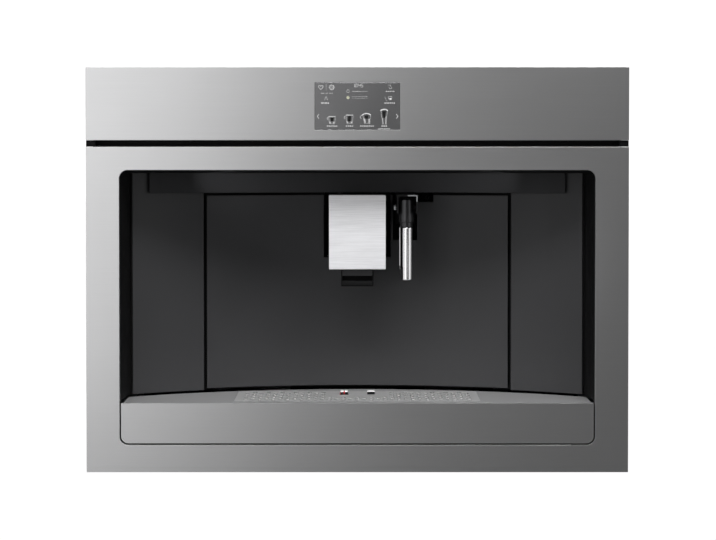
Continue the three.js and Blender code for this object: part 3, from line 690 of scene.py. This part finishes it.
bm = bmesh.new()
cell_panel(bm, ticks([-CENTRE_HALF, -38.8, 38.8, 41.2, 69.2, 88, CENTRE_HALF], 4.0),
           ticks([82.5, 231.9, 252, 296.3, 304.4], 60), centre_inside, 0, 3, wall_place)
finish_mesh("centre_panel_skin", bm, PANEL, "machine", replaces="centre_panel", slot="panel_grey", bevel=0.5, seg=3, angle=60)
for s, name in ((-1, "left"), (1, "right")):
    bm = bmesh.new()
    a, b = sorted((s * SIDE_IN, s * SIDE_OUT))
    cell_panel(bm, ticks([a, b], 4.0), ticks([80.5, 338.5], 70), lambda u, v: True, 0, 2.5, wall_place)
    finish_mesh("side_panel_skin_" + name, bm, PANEL, "door", replaces="side_panel_" + name, slot="panel_grey", bevel=0.5, seg=3, angle=60)
    bm = bmesh.new()
    a, b = sorted((s * (SIDE_OUT + 0.05), s * SEAL_OUT))
    cell_panel(bm, ticks([a, b], 1.0), ticks([80.5, 338.5], 70), lambda u, v: True, 0.6, 2.5, wall_place)
    finish_mesh("side_panel_seal_" + name, bm, BLACK, "door")
bm = bmesh.new()
cell_panel(bm, ticks([-235.3, 235.3], 4.0), ticks([307.5, 338.5], 40), lambda u, v: True, 0, 2.2, hood_place)
finish_mesh("hood_skin", bm, HOOD, "door", replaces="hood_panel", slot="hood_grey", bevel=0.6, seg=3, angle=60)

# ------------------------------------------------------------------ display
DISPLAY = display_glass_mat()
add_slab("display_pane", round_rect(-46.55, 46.55, 379, 430.5, 0.7, 4), [], 0.1, 2.4, xz, DISPLAY, "machine", r0=0.35, seg=3,
         replaces="display_glass", slot="display_glass")


def px(x, y):
    """A place on the display, from where it stands in the picture."""
    return ((x - 357.5) / 0.9084, 356.3 - (y - 150) / 0.9084)


def stroke(bm, pts, w, closed=False):
    """A line of width w on the display, as a thin raised ribbon."""
    if closed:
        loop = pts if area2(pts) > 0 else pts[::-1]
        slab(bm, offset_loop(loop, -w / 2), [offset_loop(loop, w / 2)], 0.04, 0.12, xz)
        return
    n = len(pts)
    left, right = [], []
    for i in range(n):
        a, b = Vector(pts[max(i - 1, 0)]), Vector(pts[min(i + 1, n - 1)])
        t = (b - a).normalized()
        m = Vector((-t.y, t.x)) * w / 2
        left.append((pts[i][0] + m.x, pts[i][1] + m.y))
        right.append((pts[i][0] - m.x, pts[i][1] - m.y))
    slab(bm, left + right[::-1], [], 0.04, 0.12, xz)


def dashes(bm, cx, cy, w, parts, h=1.15):
    """A caption as a row of plain dashes."""
    x, z = px(cx, cy)
    total = sum(parts) + 0.35 * (len(parts) - 1)
    at = x - w / 2
    for p in parts:
        k = p * w / total
        slab(bm, round_rect(at, at + k, z - h / 2, z + h / 2, 0.25, 2), [], 0.04, 0.12, xz)
        at += k + 0.35 * w / total


sym, bright, dim, dark, dot = (bmesh.new() for _ in range(5))


def blot(bm, pts):
    """A filled shape on the display, from its corners in the picture."""
    slab(bm, [px(*p) for p in pts], [], 0.04, 0.12, xz)


def pill(bm, x0, y0, x1, y1, r=0.35):
    (a, c), (b, d) = px(x0, y1), px(x1, y0)
    slab(bm, round_rect(a, b, c, d, min(r, (b - a) * 0.45, (d - c) * 0.45), 3), [], 0.04, 0.12, xz)


def line(bm, pts, w, closed=False):
    stroke(bm, [px(*p) for p in pts], w, closed)


hx, hz = px(321.1, 87.5)
heart = []
for i in range(28):
    t = 2 * math.pi * i / 28
    heart.append((hx + 0.158 * 16 * math.sin(t) ** 3,
                  hz + 0.158 * (13 * math.cos(t) - 5 * math.cos(2 * t) - 2 * math.cos(3 * t) - math.cos(4 * t)) + 0.3))
stroke(sym, heart, 0.65, True)
line(dim, [(326.4, 84.5), (326.4, 90.4)], 0.45)
gx, gz = px(332.0, 87.4)
gear = []
for i in range(32):
    a = 2 * math.pi * i / 32
    r = 2.75 if (i % 4) in (0, 1) else 2.15
    gear.append((gx + r * math.cos(a), gz + r * math.sin(a)))
stroke(sym, gear, 0.75, True)
stroke(dim, arc_pts(gx, gz, 0.95, 0, 330, 11), 0.5, True)
# clock: four plain digits made of straight bars
for k, bars in ((353.9, "r"), (356.3, "tblr"), (359.6, "urm"), (362.1, "tumsb")):
    w2, h2, t2 = 0.85, 1.55, 0.24
    for q in bars:
        if q == "t":
            pill(sym, k - w2, 85.6 - h2 - t2, k + w2, 85.6 - h2 + t2, 0.12)
        elif q == "b":
            pill(sym, k - w2, 85.6 + h2 - t2, k + w2, 85.6 + h2 + t2, 0.12)
        elif q == "m":
            pill(sym, k - w2, 85.6 - t2, k + w2, 85.6 + t2, 0.12)
        elif q == "l":
            pill(sym, k - w2 - t2, 85.6 - h2, k - w2 + t2, 85.6 + h2, 0.12)
        elif q == "r":
            pill(sym, k + w2 - t2, 85.6 - h2, k + w2 + t2, 85.6 + h2, 0.12)
        elif q == "u":
            pill(sym, k - w2 - t2, 85.6 - h2, k - w2 + t2, 85.6, 0.12)
        elif q == "s":
            pill(sym, k + w2 - t2, 85.6, k + w2 + t2, 85.6 + h2, 0.12)
for y in (84.9, 86.8):
    pill(sym, 357.75, y - 0.3, 358.35, y + 0.3, 0.2)


def handle_px(bm, x, y, r, w=0.5):
    cx, cz = px(x, y)
    stroke(bm, arc_pts(cx, cz, r / 0.9084, 95, 265, 8), w)


# four cups of rising size: rim, sides, handle, and the dark inside
line(sym, [(328.8, 116.5), (335.8, 116.5)], 1.05)
line(dim, [(329.0, 117.0), (329.6, 123.6), (335.0, 123.6), (335.6, 117.0)], 0.5)
blot(dark, [(330.7, 117.4), (334.0, 117.4), (333.7, 121.3), (331.0, 121.3)])
blot(sym, [(329.4, 121.2), (331.0, 121.8), (331.5, 123.9), (329.5, 123.9)])
blot(sym, [(333.4, 121.8), (335.2, 121.2), (335.1, 123.9), (333.0, 123.9)])
handle_px(dim, 328.7, 118.2, 1.3, 0.8)
line(sym, [(345.9, 115.0), (353.4, 115.0)], 1.05)
line(dim, [(346.2, 115.6), (346.9, 123.2), (352.6, 123.2), (353.2, 115.6)], 0.55)
blot(dark, [(347.9, 115.9), (351.2, 115.9), (351.0, 121.3), (348.2, 121.3)])
blot(sym, [(346.7, 120.9), (348.2, 121.6), (348.6, 123.6), (346.9, 123.6)])
blot(sym, [(351.0, 121.6), (353.0, 120.9), (352.8, 123.6), (350.7, 123.6)])
handle_px(dim, 345.7, 117.5, 1.3, 0.8)
line(bright, [(361.9, 115.3), (363.8, 114.0), (366.6, 113.3), (369.3, 113.9), (371.0, 115.1)], 1.0)
line(dim, [(363.2, 115.6), (364.4, 123.2), (369.7, 123.2), (370.8, 115.6)], 0.55)
blot(dark, [(364.7, 115.2), (368.4, 115.2), (368.0, 118.6), (365.2, 118.6)])
blot(sym, [(363.9, 118.0), (365.3, 118.8), (365.9, 123.6), (364.3, 123.6)])
blot(sym, [(368.7, 118.8), (370.5, 118.0), (370.2, 123.6), (368.5, 123.6)])
handle_px(dim, 361.9, 117.0, 1.5, 0.8)
line(bright, [(380.5, 110.7), (382.2, 109.6), (384.2, 109.2), (386.2, 109.6), (387.9, 110.7)], 1.25)
line(dim, [(381.0, 111.4), (382.6, 123.8), (386.0, 123.8), (387.4, 111.4)], 0.55)
blot(dark, [(382.3, 111.0), (385.8, 111.0), (385.2, 117.8), (383.1, 117.8)])
blot(sym, [(381.6, 117.6), (382.9, 118.4), (383.5, 124.2), (382.4, 124.2)])
blot(sym, [(385.7, 116.4), (387.0, 115.6), (386.6, 124.2), (385.2, 124.2)])
# small icons in the corners
line(sym, [(388.0, 85.2), (390.6, 85.2), (390.6, 86.6)], 0.5)
line(sym, [(388.9, 86.8), (389.3, 88.6), (391.4, 88.6), (391.8, 86.6)], 0.55)
line(dim, [(324.9, 100.2), (326.0, 96.6), (326.7, 96.6), (327.8, 100.2)], 0.65)
line(sym, [(388.1, 96.6), (388.9, 99.4)], 0.5)
blot(bright, [(389.2, 98.0), (391.8, 98.0), (391.4, 99.9), (389.7, 99.9)])
line(sym, [(388.8, 96.6), (392.0, 96.6), (391.7, 97.8)], 0.5)
line(dim, [(384.6, 96.4), (387.0, 101.4)], 0.4)
# two settings, each a line and a mark
line(sym, [(352.2, 91.4), (359.8, 91.4)], 0.5)
line(dim, [(359.8, 91.4), (368.0, 91.4)], 0.4)
line(dim, [(352.2, 96.6), (368.0, 96.6)], 0.4)
line(dim, [(352.2, 98.3), (368.0, 98.3)], 0.3)
rx, rz = px(348.2, 91.2)
stroke(dim, arc_pts(rx, rz, 1.5, 0, 345, 15), 0.6, True)
dx, dz = px(348.2, 97.6)
slab(dot, arc_pts(dx, dz, 1.7, 0, 345, 23), [], 0.04, 0.12, xz)
for x, y, s in ((318.4, 116.3, -1), (397.1, 116.2, 1)):
    line(bright, [(x - s * 0.8, y - 2.1), (x + s * 0.8, y), (x - s * 0.8, y + 2.1)], 0.6)
dashes(sym, 325.3, 103.0, 8.6, [1.4, 1.0, 1.5, 1.1], 1.6)
dashes(dim, 327.0, 93.3, 13.0, [1.0, 0.7, 1.0], 0.8)
dashes(sym, 390.1, 91.4, 9.6, [1.6, 1.1, 1.4, 1.0, 1.3], 1.1)
dashes(sym, 389.6, 103.0, 11.6, [1.4, 1.2, 1.0, 1.5, 1.2, 1.0], 1.35)
dashes(sym, 332.3, 125.9, 11.6, [1.4, 1.0, 1.3, 1.1, 1.4, 1.0], 1.3)
dashes(sym, 349.6, 125.9, 8.2, [1.3, 1.1, 1.2, 1.0], 1.3)
dashes(sym, 367.0, 125.9, 15.0, [1.3, 1.0, 1.2, 1.4, 1.0, 1.2, 1.1, 1.3], 1.3)
dashes(sym, 384.2, 125.9, 6.2, [1.3, 1.2, 1.1], 1.5)
dashes(sym, 384.3, 128.7, 13.0, [1.2, 1.3, 1.0, 1.4, 1.1, 1.2, 1.0], 1.2)
for nm, bm, mt in (("display_symbols", sym, LIT), ("display_symbols_bright", bright, LIT_BRIGHT), ("display_symbols_dim", dim, LIT_DIM),
                   ("display_symbols_unlit", dark, LIT_DARK), ("display_level_dot", dot, LIT_GREEN)):
    finish_mesh(nm, bm, mt, "machine", weighted=False, smooth=False)

# ------------------------------------------------------------------ grip strip behind the gap
bm = bmesh.new()
slab(bm, [(19.2, 361), (19.2, 367), (11, 367), (11, 366), (16.5, 366), (16.5, 362), (11, 362), (11, 361)][::-1], [], -297.9, 297.9, yz_at(0))
finish_mesh("grip_channel", bm, BLACK, "machine", replaces="grip_strip", bevel=0.3, seg=2)
# end blocks that close the gap at its ends, near-black as painted shade of the shadow gap
bm = bmesh.new()
for a, b in ((-297.8, -288), (288, 297.8)):
    rbox(bm, a, b, 1.8, 10.9, 360.2, 367.15)
finish_mesh("grip_channel_ends_painted_shade", bm, BLACK_AND_SHADE, "machine", bevel=0.1, seg=2)

# ------------------------------------------------------------------ coffee spout
add_slab("spout_plate", round_rect(-31.8, 31.8, 222.9, 306.3, 0.9, 5), [], 48.0, 50.6, xz, SPOUT, "spout", r0=0.7, r1=0.25, seg=4,
         replaces="spout_front_plate", slot="spout_metal")
for s in (-1, 1):
    a, b = sorted((s * 30.45, s * 31.35))
    add_slab("spout_plate_return_" + ("left" if s < 0 else "right"), round_rect(50.4, 110, 224.2, 305.0, 0.8, 4), [], a, b, yz_at(0), SPOUT, "spout",
             r0=0.2, r1=0.2, seg=2, slot="spout_metal")
bm = bmesh.new()
outer = round_rect(-30.4, 30.4, 50.9, 120, 2.2, 5)
inner = round_rect(-27.9, 27.9, 53.4, 117.5, 1.2, 5)
slab(bm, outer, [inner], 223.7, 303.2, plan, r0=0.5, seg=3)
slab(bm, outer, [], 302.2, 305.5, plan, r1=1.2, seg=3)
finish_mesh("spout_shell", bm, DARK, "spout", replaces="spout_body", slot="black_plastic")
# nozzle block: its own black plastic, made near-black as painted shade in the slot recess
bm = bmesh.new()
slab(bm, [(56, 240), (56, 214.8), (62, 214.8), (62, 209.8), (56, 209.8), (56, 203.4), (88, 203.4), (88, 240)], [], -18.1, 18.1, yz_at(0))
finish_mesh("nozzle_housing", bm, BLACK_AND_SHADE, "spout", replaces="nozzle_block", slot="black_plastic", bevel=0.6, seg=3)
add_slab("nozzle_face", round_rect(-16.9, 16.9, 215.4, 222.7, 0.5, 4), [], 55.6, 57.0, xz, NOZZLE_FACE, "spout", r0=0.25, seg=3, slot="black_plastic")
add_slab("nozzle_lip", round_rect(-16.7, 16.7, 205.2, 209.4, 0.5, 4), [], 55.6, 57.0, xz, NOZZLE_LIP, "spout", r0=0.25, seg=3, slot="black_plastic")
for s in (-1, 1):
    # slot end blocks in near-black: painted shade at the slot's ends
    a, b = sorted((s * 16.6, s * 18.1))
    add_box("nozzle_slot_end_" + ("left" if s < 0 else "right"), a, b, 56.6, 62.4, 209.4, 215.2, BLACK_AND_SHADE, "spout", r=0.35, seg=2)
    add_lathe("nozzle_" + ("left" if s < 0 else "right"),
              [(3.4, 203.6), (4.9, 203.6), (5.3, 204.2), (5.3, 214.0), (3.4, 214.0), (3.0, 209.0)], GREYP, "spout", n=40, at=(s * 9, 74, 0))
bm = bmesh.new()
rbox(bm, -26, 26, 157, 171, 284, 303)
finish_mesh("spout_slider", bm, BLACK, "spout", replaces="spout_carriage", bevel=1.6, seg=4)
add_box("spout_slider_arm", -14, 14, 120.3, 158, 287, 300, BLACK, "spout", r=1.0, seg=3)
for s in (-1, 1):
    nm = "left" if s < 0 else "right"
    add_lathe("guide_rod_" + nm, [(0, 232.2), (2.4, 232.2), (3, 232.8), (3, 329.6), (2.4, 330.2), (0, 330.2)], ROD_DARKENED_AS_SHADE, "machine", n=40,
              at=(s * 20, 164, 0), replaces="spout_guide_rod_" + nm, slot="bright_chrome")
    # slider bushes in black: painted shade in the gap above the spout
    add_lathe("slider_bush_" + nm, [(3.3, 283.4), (4.6, 283.4), (5.0, 283.8), (5.0, 303.2), (4.6, 303.6), (3.3, 303.6)], BLACK, "spout", n=40, at=(s * 20, 164, 0))

# ------------------------------------------------------------------ wand
HX, HD = 54.9, 62.0
handle = soften([(0, 262), (5.0, 262), (5.0, 269.9), (7.0, 269.9), (7.0, 275.6), (8.0, 275.6), (8.0, 300.4), (5.8, 302.7), (0, 302.7)], 0.5, 3)
bm = bmesh.new()
lathe(bm, handle, 72, "z", (HX, HD, 0))
finish_mesh("wand_grip", bm, GRIPMAT, "wand", replaces="wand_handle", slot="black_plastic")
for i in range(20):
    a = 2 * math.pi * (i + 0.5) / 20
    bm = bmesh.new() if i == 0 else bm
    c, s_ = math.cos(a), math.sin(a)
    m = Matrix.Translation(((HX + 7.85 * c) / 1000, Y(HD + 7.85 * s_) / 1000, 0.2880)) @ Matrix.Rotation(a, 4, "Z")
    bmesh.ops.create_cube(bm, size=1.0, matrix=m @ Matrix.Diagonal((0.0003, 0.0011, 0.0215, 1)))
finish_mesh("wand_grip_ribs", bm, GRIPMAT, "wand", bevel=0.12, seg=2)
tube = soften([(0, 218), (4.4, 218), (4.4, 210.6), (4.7, 210.4), (5.8, 210.4), (6.5, 211.1), (6.5, 269.0), (6.1, 269.6), (5.6, 269.6), (5.6, 262.2), (0, 262.2)], 0.25, 3)
add_lathe("wand_outlet", tube, TUBE, "wand", n=96, at=(HX + 0.7, HD, 0), replaces="wand_tube", slot="bright_chrome")
add_lathe("outlet_side_pipe", soften([(0, 222.8), (0.4, 223.0), (0.8, 227.0), (0.8, 269.4), (0, 269.4)], 0.15, 3), CHROME, "wand", n=32, at=(48.05, 60.0, 0),
          slot="bright_chrome")
# a thin near-black strip between the side pipe and the outlet tube: painted shadow line
add_box("outlet_pipe_painted_shadow", 48.75, 49.3, 57.6, 61.6, 223.2, 269.4, BLACK_AND_SHADE, "wand", r=0.1, seg=2)
bm = bmesh.new()
for b in ((44.5, 67.5, 52.5, 172, 304.6, 306.1), (44.5, 46, 52.5, 171.6, 285, 305.4), (66, 67.5, 52.5, 171.6, 285, 305.4), (44.5, 67.5, 171, 174.8, 270, 306.1)):
    rbox(bm, *b)
finish_mesh("wand_bracket_fold", bm, PAINT, "machine", replaces="wand_bracket", slot="black_paint", bevel=0.4, seg=3)
# bright zinc strips on the black bracket's top and right front edges: painted highlight where the edge catches the
# light
bm = bmesh.new()
rbox(bm, 56.5, 67.6, 52.2, 53.4, 304.7, 306.2)
rbox(bm, 66.2, 67.6, 52.2, 53.4, 298.6, 306.0)
finish_mesh("wand_bracket_painted_glint", bm, ZINC, "machine", slot="zinc_sheet", bevel=0.3, seg=3)
add_lathe("wand_pivot_head", soften([(0, 41), (3, 41), (3, 43.6), (0, 43.6)], 0.5, 3), ZINC, "machine", n=40, axis="x", at=(0, HD, 292),
          replaces="wand_pin", slot="zinc_sheet")
add_lathe("wand_pivot_shaft", soften([(0, 43.4), (1.9, 43.4), (1.9, 67.2), (0, 67.2)], 0.3, 3), BLACK, "machine", n=40, axis="x", at=(0, HD, 292), slot="black_plastic")
add_lathe("milk_port", soften([(0, 165.6), (5.5, 165.6), (5.5, 161), (3.6, 161), (3.6, 148), (2.6, 146), (1.6, 146), (1.6, 156), (0, 156)], 0.3, 3), BLACK, "machine",
          n=48, axis="y", at=(81.5, 0, 301.8), replaces="milk_hose_port")

# ------------------------------------------------------------------ tray top, cup grid, float and tab
def region_loop(half, front, off, n):
    return [(-half, front), (half, front)] + [(x, wall_d(x) + off) for x in [half - 2 * half * i / n for i in range(n + 1)]]


well = round_rect(-137.3, 137.3, 20.5, 122, 1.5, 5)
bm = bmesh.new()
slab(bm, region_loop(258, 6.9, -1.5, 56), [well], 76.6, 78.0, plan, r1=0.1, seg=2)
slab(bm, region_loop(257.8, 7.1, -1.7, 56), [region_loop(256.5, 8.4, -3, 56)], 71.9, 76.9, plan)
slab(bm, round_rect(-140, 140, 17.8, 124.7, 2, 4), [round_rect(-133.8, 133.8, 24, 118.5, 1, 4)], 75.0, 76.4, plan)
finish_mesh("tray_cover", bm, TRAYTOP, "tray", replaces="tray_top", slot="tray_steel")


def stadium(cx, cd, w, l, n=5):
    r = w / 2
    return arc_pts(cx, cd + l / 2 - r, r, 0, 180, n) + arc_pts(cx, cd - l / 2 + r, r, 180, 360, n)


slots = [[(-20.3, 83.9), (-9.7, 83.9), (-9.7, 92.1), (-20.3, 92.1)]]
for k in range(-16, 17):
    for r in range(4):
        d = (32 if k % 2 == 0 else 43) + r * 22
        if abs(k * 7.8) < 34 and d > 60:
            continue
        if d + 6.5 > 121.5 - 3:
            continue
        slots.append(stadium(k * 7.8, d, 5.3, 12.0))
bm = bmesh.new()
slab(bm, round_rect(-136.8, 136.8, 21, 121.5, 1.5, 5), slots, 76.8, 78.3, plan)
stand = finish_mesh("cup_stand", bm, GRID, "grid", replaces="cup_grid", slot="grid_steel")
stand.data.materials.append(GRIDCUT)
for p in stand.data.polygons:
    p.material_index = 1 if abs(p.normal.z) < 0.5 else 0
bm = bmesh.new()
rbox(bm, 11, 20, 84.5, 91.5, 78.6, 81.9)
finish_mesh("lift_tab", bm, BLACK, "grid", replaces="grid_lift_tab", bevel=0.8, seg=3)
# white cap on the black tab: painted highlight on its top
add_box("lift_tab_painted_highlight", 11.2, 19.8, 84.6, 91.2, 81.4, 82.9, TOP_HIGHLIGHT_WHITE, "grid", r=0.45, seg=3)
bm = bmesh.new()
rbox(bm, -22, -8, 81, 95, 45, 53)
rbox(bm, -19.8, -10.2, 84.4, 91.6, 76.6, 78.5)
lathe(bm, [(0, 52.5), (2, 52.5), (2, 77.4), (0, 77.4)], 24, "z", (-15, 88, 0))
finish_mesh("float_body", bm, BLACK, "float", replaces="tray_float", bevel=0.4, seg=3)
bm = bmesh.new()
rbox(bm, -15.6, -14.4, 84.7, 91, 77, 82.4)
rbox(bm, -19.7, -19.2, 85.0, 90.8, 78.4, 81.6)
finish_mesh("float_core", bm, REDP, "float", bevel=0.2, seg=2)
bm = bmesh.new()
for a, b in ((-19.3, -15.5), (-14.5, -10.7)):
    rbox(bm, a, b, 84.9, 90.9, 78.9, 81.6)
finish_mesh("float_lobes", bm, BLACK, "float", bevel=0.5, seg=3)
# white caps on the black lobes: painted highlight on their tops
bm = bmesh.new()
for a, b in ((-19.1, -15.6), (-14.4, -10.9)):
    rbox(bm, a, b, 84.8, 91.0, 81.2, 83.0)
finish_mesh("float_painted_highlights", bm, TOP_HIGHLIGHT_WHITE, "float", bevel=0.45, seg=3)

# ------------------------------------------------------------------ rear cover with countersunk screws
fan_slots = []
for i in range(-4, 5):
    half = math.sqrt(34 * 34 - (i * 7.4) ** 2)
    fan_slots.append(round_rect(-170 - half, -170 + half, 150 + i * 7.4 - 2.2, 150 + i * 7.4 + 2.2, 2.1, 4))
vent_slots = [round_rect(60 + i * 14, 66 + i * 14, 300, 360, 2.9, 4) for i in range(10)]
screws = [(x, z) for x in (-270, -90, 90, 270) for z in (12, 436)] + [(x, z) for x in (-270, 270) for z in (150, 295)]
seats = [arc_pts(x, z, 4.2, 0, 345, 23) for x, z in screws]
add_slab("rear_sheet", round_rect(-279, 279, 3, 445, 1.5, 4), fan_slots + vent_slots + seats + [round_rect(151.0, 177.0, 31.0, 53.0, 1.0, 4)],
         473.5, 475.0, xz, ZINC, "machine", r1=0.3, seg=2, replaces="rear_cover", slot="zinc_sheet")


def screw(bm, x, y, z, axis, r, out):
    """A countersunk cross-recess screw head: a shallow dome with a cross cut in it. out is +1 or -1 along the axis."""
    n = 32
    prof = [(r, -0.9), (r, -0.1), (r * 0.93, 0.0), (r * 0.3, 0.0)]
    lathe_rings(bm, prof, n, axis, (x, y, z), out)


def lathe_rings(bm, prof, n, axis, at, out):
    rings = []
    for r, h in prof:
        ring = []
        for i in range(n):
            a = 2 * math.pi * i / n
            k = r
            if r < 1.6:
                k = r * (1.0 if (i % 8) in (0, 1, 7) else 0.62)
            c, s2 = k * math.cos(a), k * math.sin(a)
            p = {"z": (at[0] + c, at[1] + s2, at[2] + h * out), "y": (at[0] + c, at[1] + h * out, at[2] + s2), "x": (at[0] + h * out, at[1] + c, at[2] + s2)}[axis]
            ring.append(bm.verts.new((p[0] / 1000, Y(p[1]) / 1000, p[2] / 1000)))
        rings.append(ring)
    base = []
    for i in range(n):
        v = rings[-1][i].co
        d = Vector({"z": (0, 0, -0.7 * out), "y": (0, -0.7 * out, 0), "x": (-0.7 * out, 0, 0)}[axis]) / 1000
        base.append(bm.verts.new(v + d))
    rings.append(base)
    for a, b in zip(rings, rings[1:]):
        for i in range(n):
            j = (i + 1) % n
            bm.faces.new((a[i], a[j], b[j], b[i]))
    bm.faces.new(base)
    bm.faces.new(rings[0][::-1])


bm = bmesh.new()
for x, z in screws:
    screw(bm, x, 474.9, z, "y", 4.0, 1)
finish_mesh("rear_screws", bm, TOOL, "machine", weighted=False)
bm = bmesh.new()
for x in (-266, 266):
    for d in (40, 180, 320, 460):
        screw(bm, x, d, 445.9, "z", 3.6, 1)
finish_mesh("top_screws", bm, TOOL, "machine", weighted=False)
for s in (-1, 1):
    bm = bmesh.new()
    for d, z in ((40, 60), (40, 390), (240, 20), (240, 425), (450, 60), (450, 390)):
        screw(bm, s * 279.8, d, z, "x", 3.6, s)
    finish_mesh("side_screws_" + ("left" if s < 0 else "right"), bm, TOOL, "machine", weighted=False)

soften_nodes()

# ------------------------------------------------------------------ camera
CAM_Z, CAM_D, TARGET_Z = 356.3, 2450.0, 290.3
cam_data = bpy.data.cameras.new("camera")
cam = bpy.data.objects.new("camera", cam_data)
SC.collection.objects.link(cam)
SC.camera = cam
cam.location = (0, Y(-CAM_D) / 1000, CAM_Z / 1000)
look = Vector((0, Y(0) / 1000, TARGET_Z / 1000)) - cam.location
cam.rotation_mode = "QUATERNION"
cam.rotation_quaternion = look.to_track_quat("-Z", "Y")
cam_data.sensor_width = 36
cam_data.lens = 112.3
cam_data.shift_x = 0.0009
cam_data.shift_y = -0.0832
cam_data.clip_start = 0.05
cam_data.clip_end = 60

# ------------------------------------------------------------------ studio
SC.view_settings.view_transform = "Standard"
SC.view_settings.look = "None"
world = bpy.data.worlds.new("studio")
SC.world = world
world.use_nodes = True
wt = world.node_tree
geo = N(wt, "ShaderNodeTexCoord")
sep = N(wt, "ShaderNodeSeparateXYZ")
wt.links.new(geo.outputs["Generated"], sep.inputs[0])
sky = ramp(wt, map_range(wt, sep.outputs[2], -1, 1, 0, 1), [(0.0, 0.28), (0.26, 0.25), (0.36, 0.075), (0.44, 0.068), (0.5, 0.003), (0.58, 0.008), (1.0, 0.02)])
flank = map_range(wt, math_node(wt, "ABSOLUTE", sep.outputs[0]), 0.54, 0.84, 0.0, 0.42, smooth=True)
rear = map_range(wt, sep.outputs[1], 0.0, 0.5, 0.0, 0.42, smooth=True)
glow = math_node(wt, "MAXIMUM", flank, rear)
wt.links.new(mix_col(wt, 1.0, sky, glow, "ADD"), wt.nodes["Background"].inputs[0])
wt.nodes["Background"].inputs[1].default_value = 1.0


def studio_mat(name, col):
    m, nt, b = new_mat(name)
    n = noise(nt, coords(nt), 1.2, 2, 0.5)
    nt.links.new(mix_col(nt, 1.0, col, map_range(nt, n, 0.3, 0.7, 0.995, 1.0), "MULTIPLY"), b.inputs["Base Color"])
    b.inputs["Roughness"].default_value = 0.9
    b.inputs["Specular IOR Level"].default_value = 0.1
    b.inputs["Emission Color"].default_value = (1, 1, 1, 1)
    b.inputs["Emission Strength"].default_value = 1.0
    return m


FLOOR = studio_mat("studio_floor", (0.93, 0.93, 0.93))
bm = bmesh.new()
pts = [(0.0, -0.0005), (13.0, -0.0005)]
for i in range(1, 13):
    a = math.pi / 2 * i / 12
    pts.append((13.0 + 3.0 * math.sin(a), -0.0005 + 3.0 * (1 - math.cos(a))))
pts.append((16.0, 16.0))
turns = 96
rings = [[bm.verts.new((r * math.cos(2 * math.pi * k / turns), r * math.sin(2 * math.pi * k / turns), z)) for k in range(turns)]
         for r, z in pts[1:]]
bm.faces.new(rings[0])
for i in range(len(rings) - 1):
    for k in range(turns):
        j = (k + 1) % turns
        bm.faces.new((rings[i][k], rings[i][j], rings[i + 1][j], rings[i + 1][k]))
me = bpy.data.meshes.new("studio_sweep")
bm.to_mesh(me)
bm.free()
for p in me.polygons:
    p.use_smooth = True
floor = bpy.data.objects.new("studio_sweep", me)
SC.collection.objects.link(floor)
floor.data.materials.append(FLOOR)
floor.visible_glossy = False
floor.visible_shadow = False
floor.visible_diffuse = False


def area(name, loc, target, size, size_y, power, col=(1, 1, 1), spread=180, cam_vis=False):
    d = bpy.data.lights.new(name, "AREA")
    d.shape = "RECTANGLE"
    d.size = size
    d.size_y = size_y
    d.energy = power
    d.color = col
    d.spread = math.radians(spread)
    o = bpy.data.objects.new(name, d)
    SC.collection.objects.link(o)
    o.location = loc
    v = Vector(target) - Vector(loc)
    o.rotation_mode = "QUATERNION"
    o.rotation_quaternion = v.to_track_quat("-Z", "Y")
    o.visible_camera = cam_vis
    return o


area("key_left", (-0.643, -1.835, 0.98), (0, -0.2, 0.2), 1.006, 3.011, 14.15)
area("top_front", (0.15, -1.25, 1.45), (0, -0.12, 0.2), 1.5, 0.5, 21.8)
area("side_left", (-1.75, -1.5, 0.35), (0, -0.18, 0.24), 1.0, 1.2, 2.4)
area("side_right", (1.7, -1.1, 0.35), (0.05, -0.18, 0.24), 1.5, 1.2, 3.0)
area("front_right", (0.187, -0.605, 0.215), (0.055, -0.175, 0.24), 0.135, 0.06, 0.014)
area("niche_left", (-0.165, Y(50) / 1000, 0.329), (-0.03, Y(165) / 1000, 0.310), 0.07, 0.008, 0.022, spread=110)
area("niche_right", (0.165, Y(50) / 1000, 0.329), (0.03, Y(165) / 1000, 0.310), 0.07, 0.008, 0.018, spread=110)
area("outlet_right", (0.215, Y(48) / 1000, 0.255), (0.055, Y(62) / 1000, 0.255), 0.07, 0.12, 0.009)
area("rear_soft", (-1.1, 2.5, 1.5), (0, 0.2, 0.2), 2.4, 1.8, 14)
area("floor_wash", (0, -0.6, 3.6), (0, 1.0, 0), 6.0, 4.0, 38)
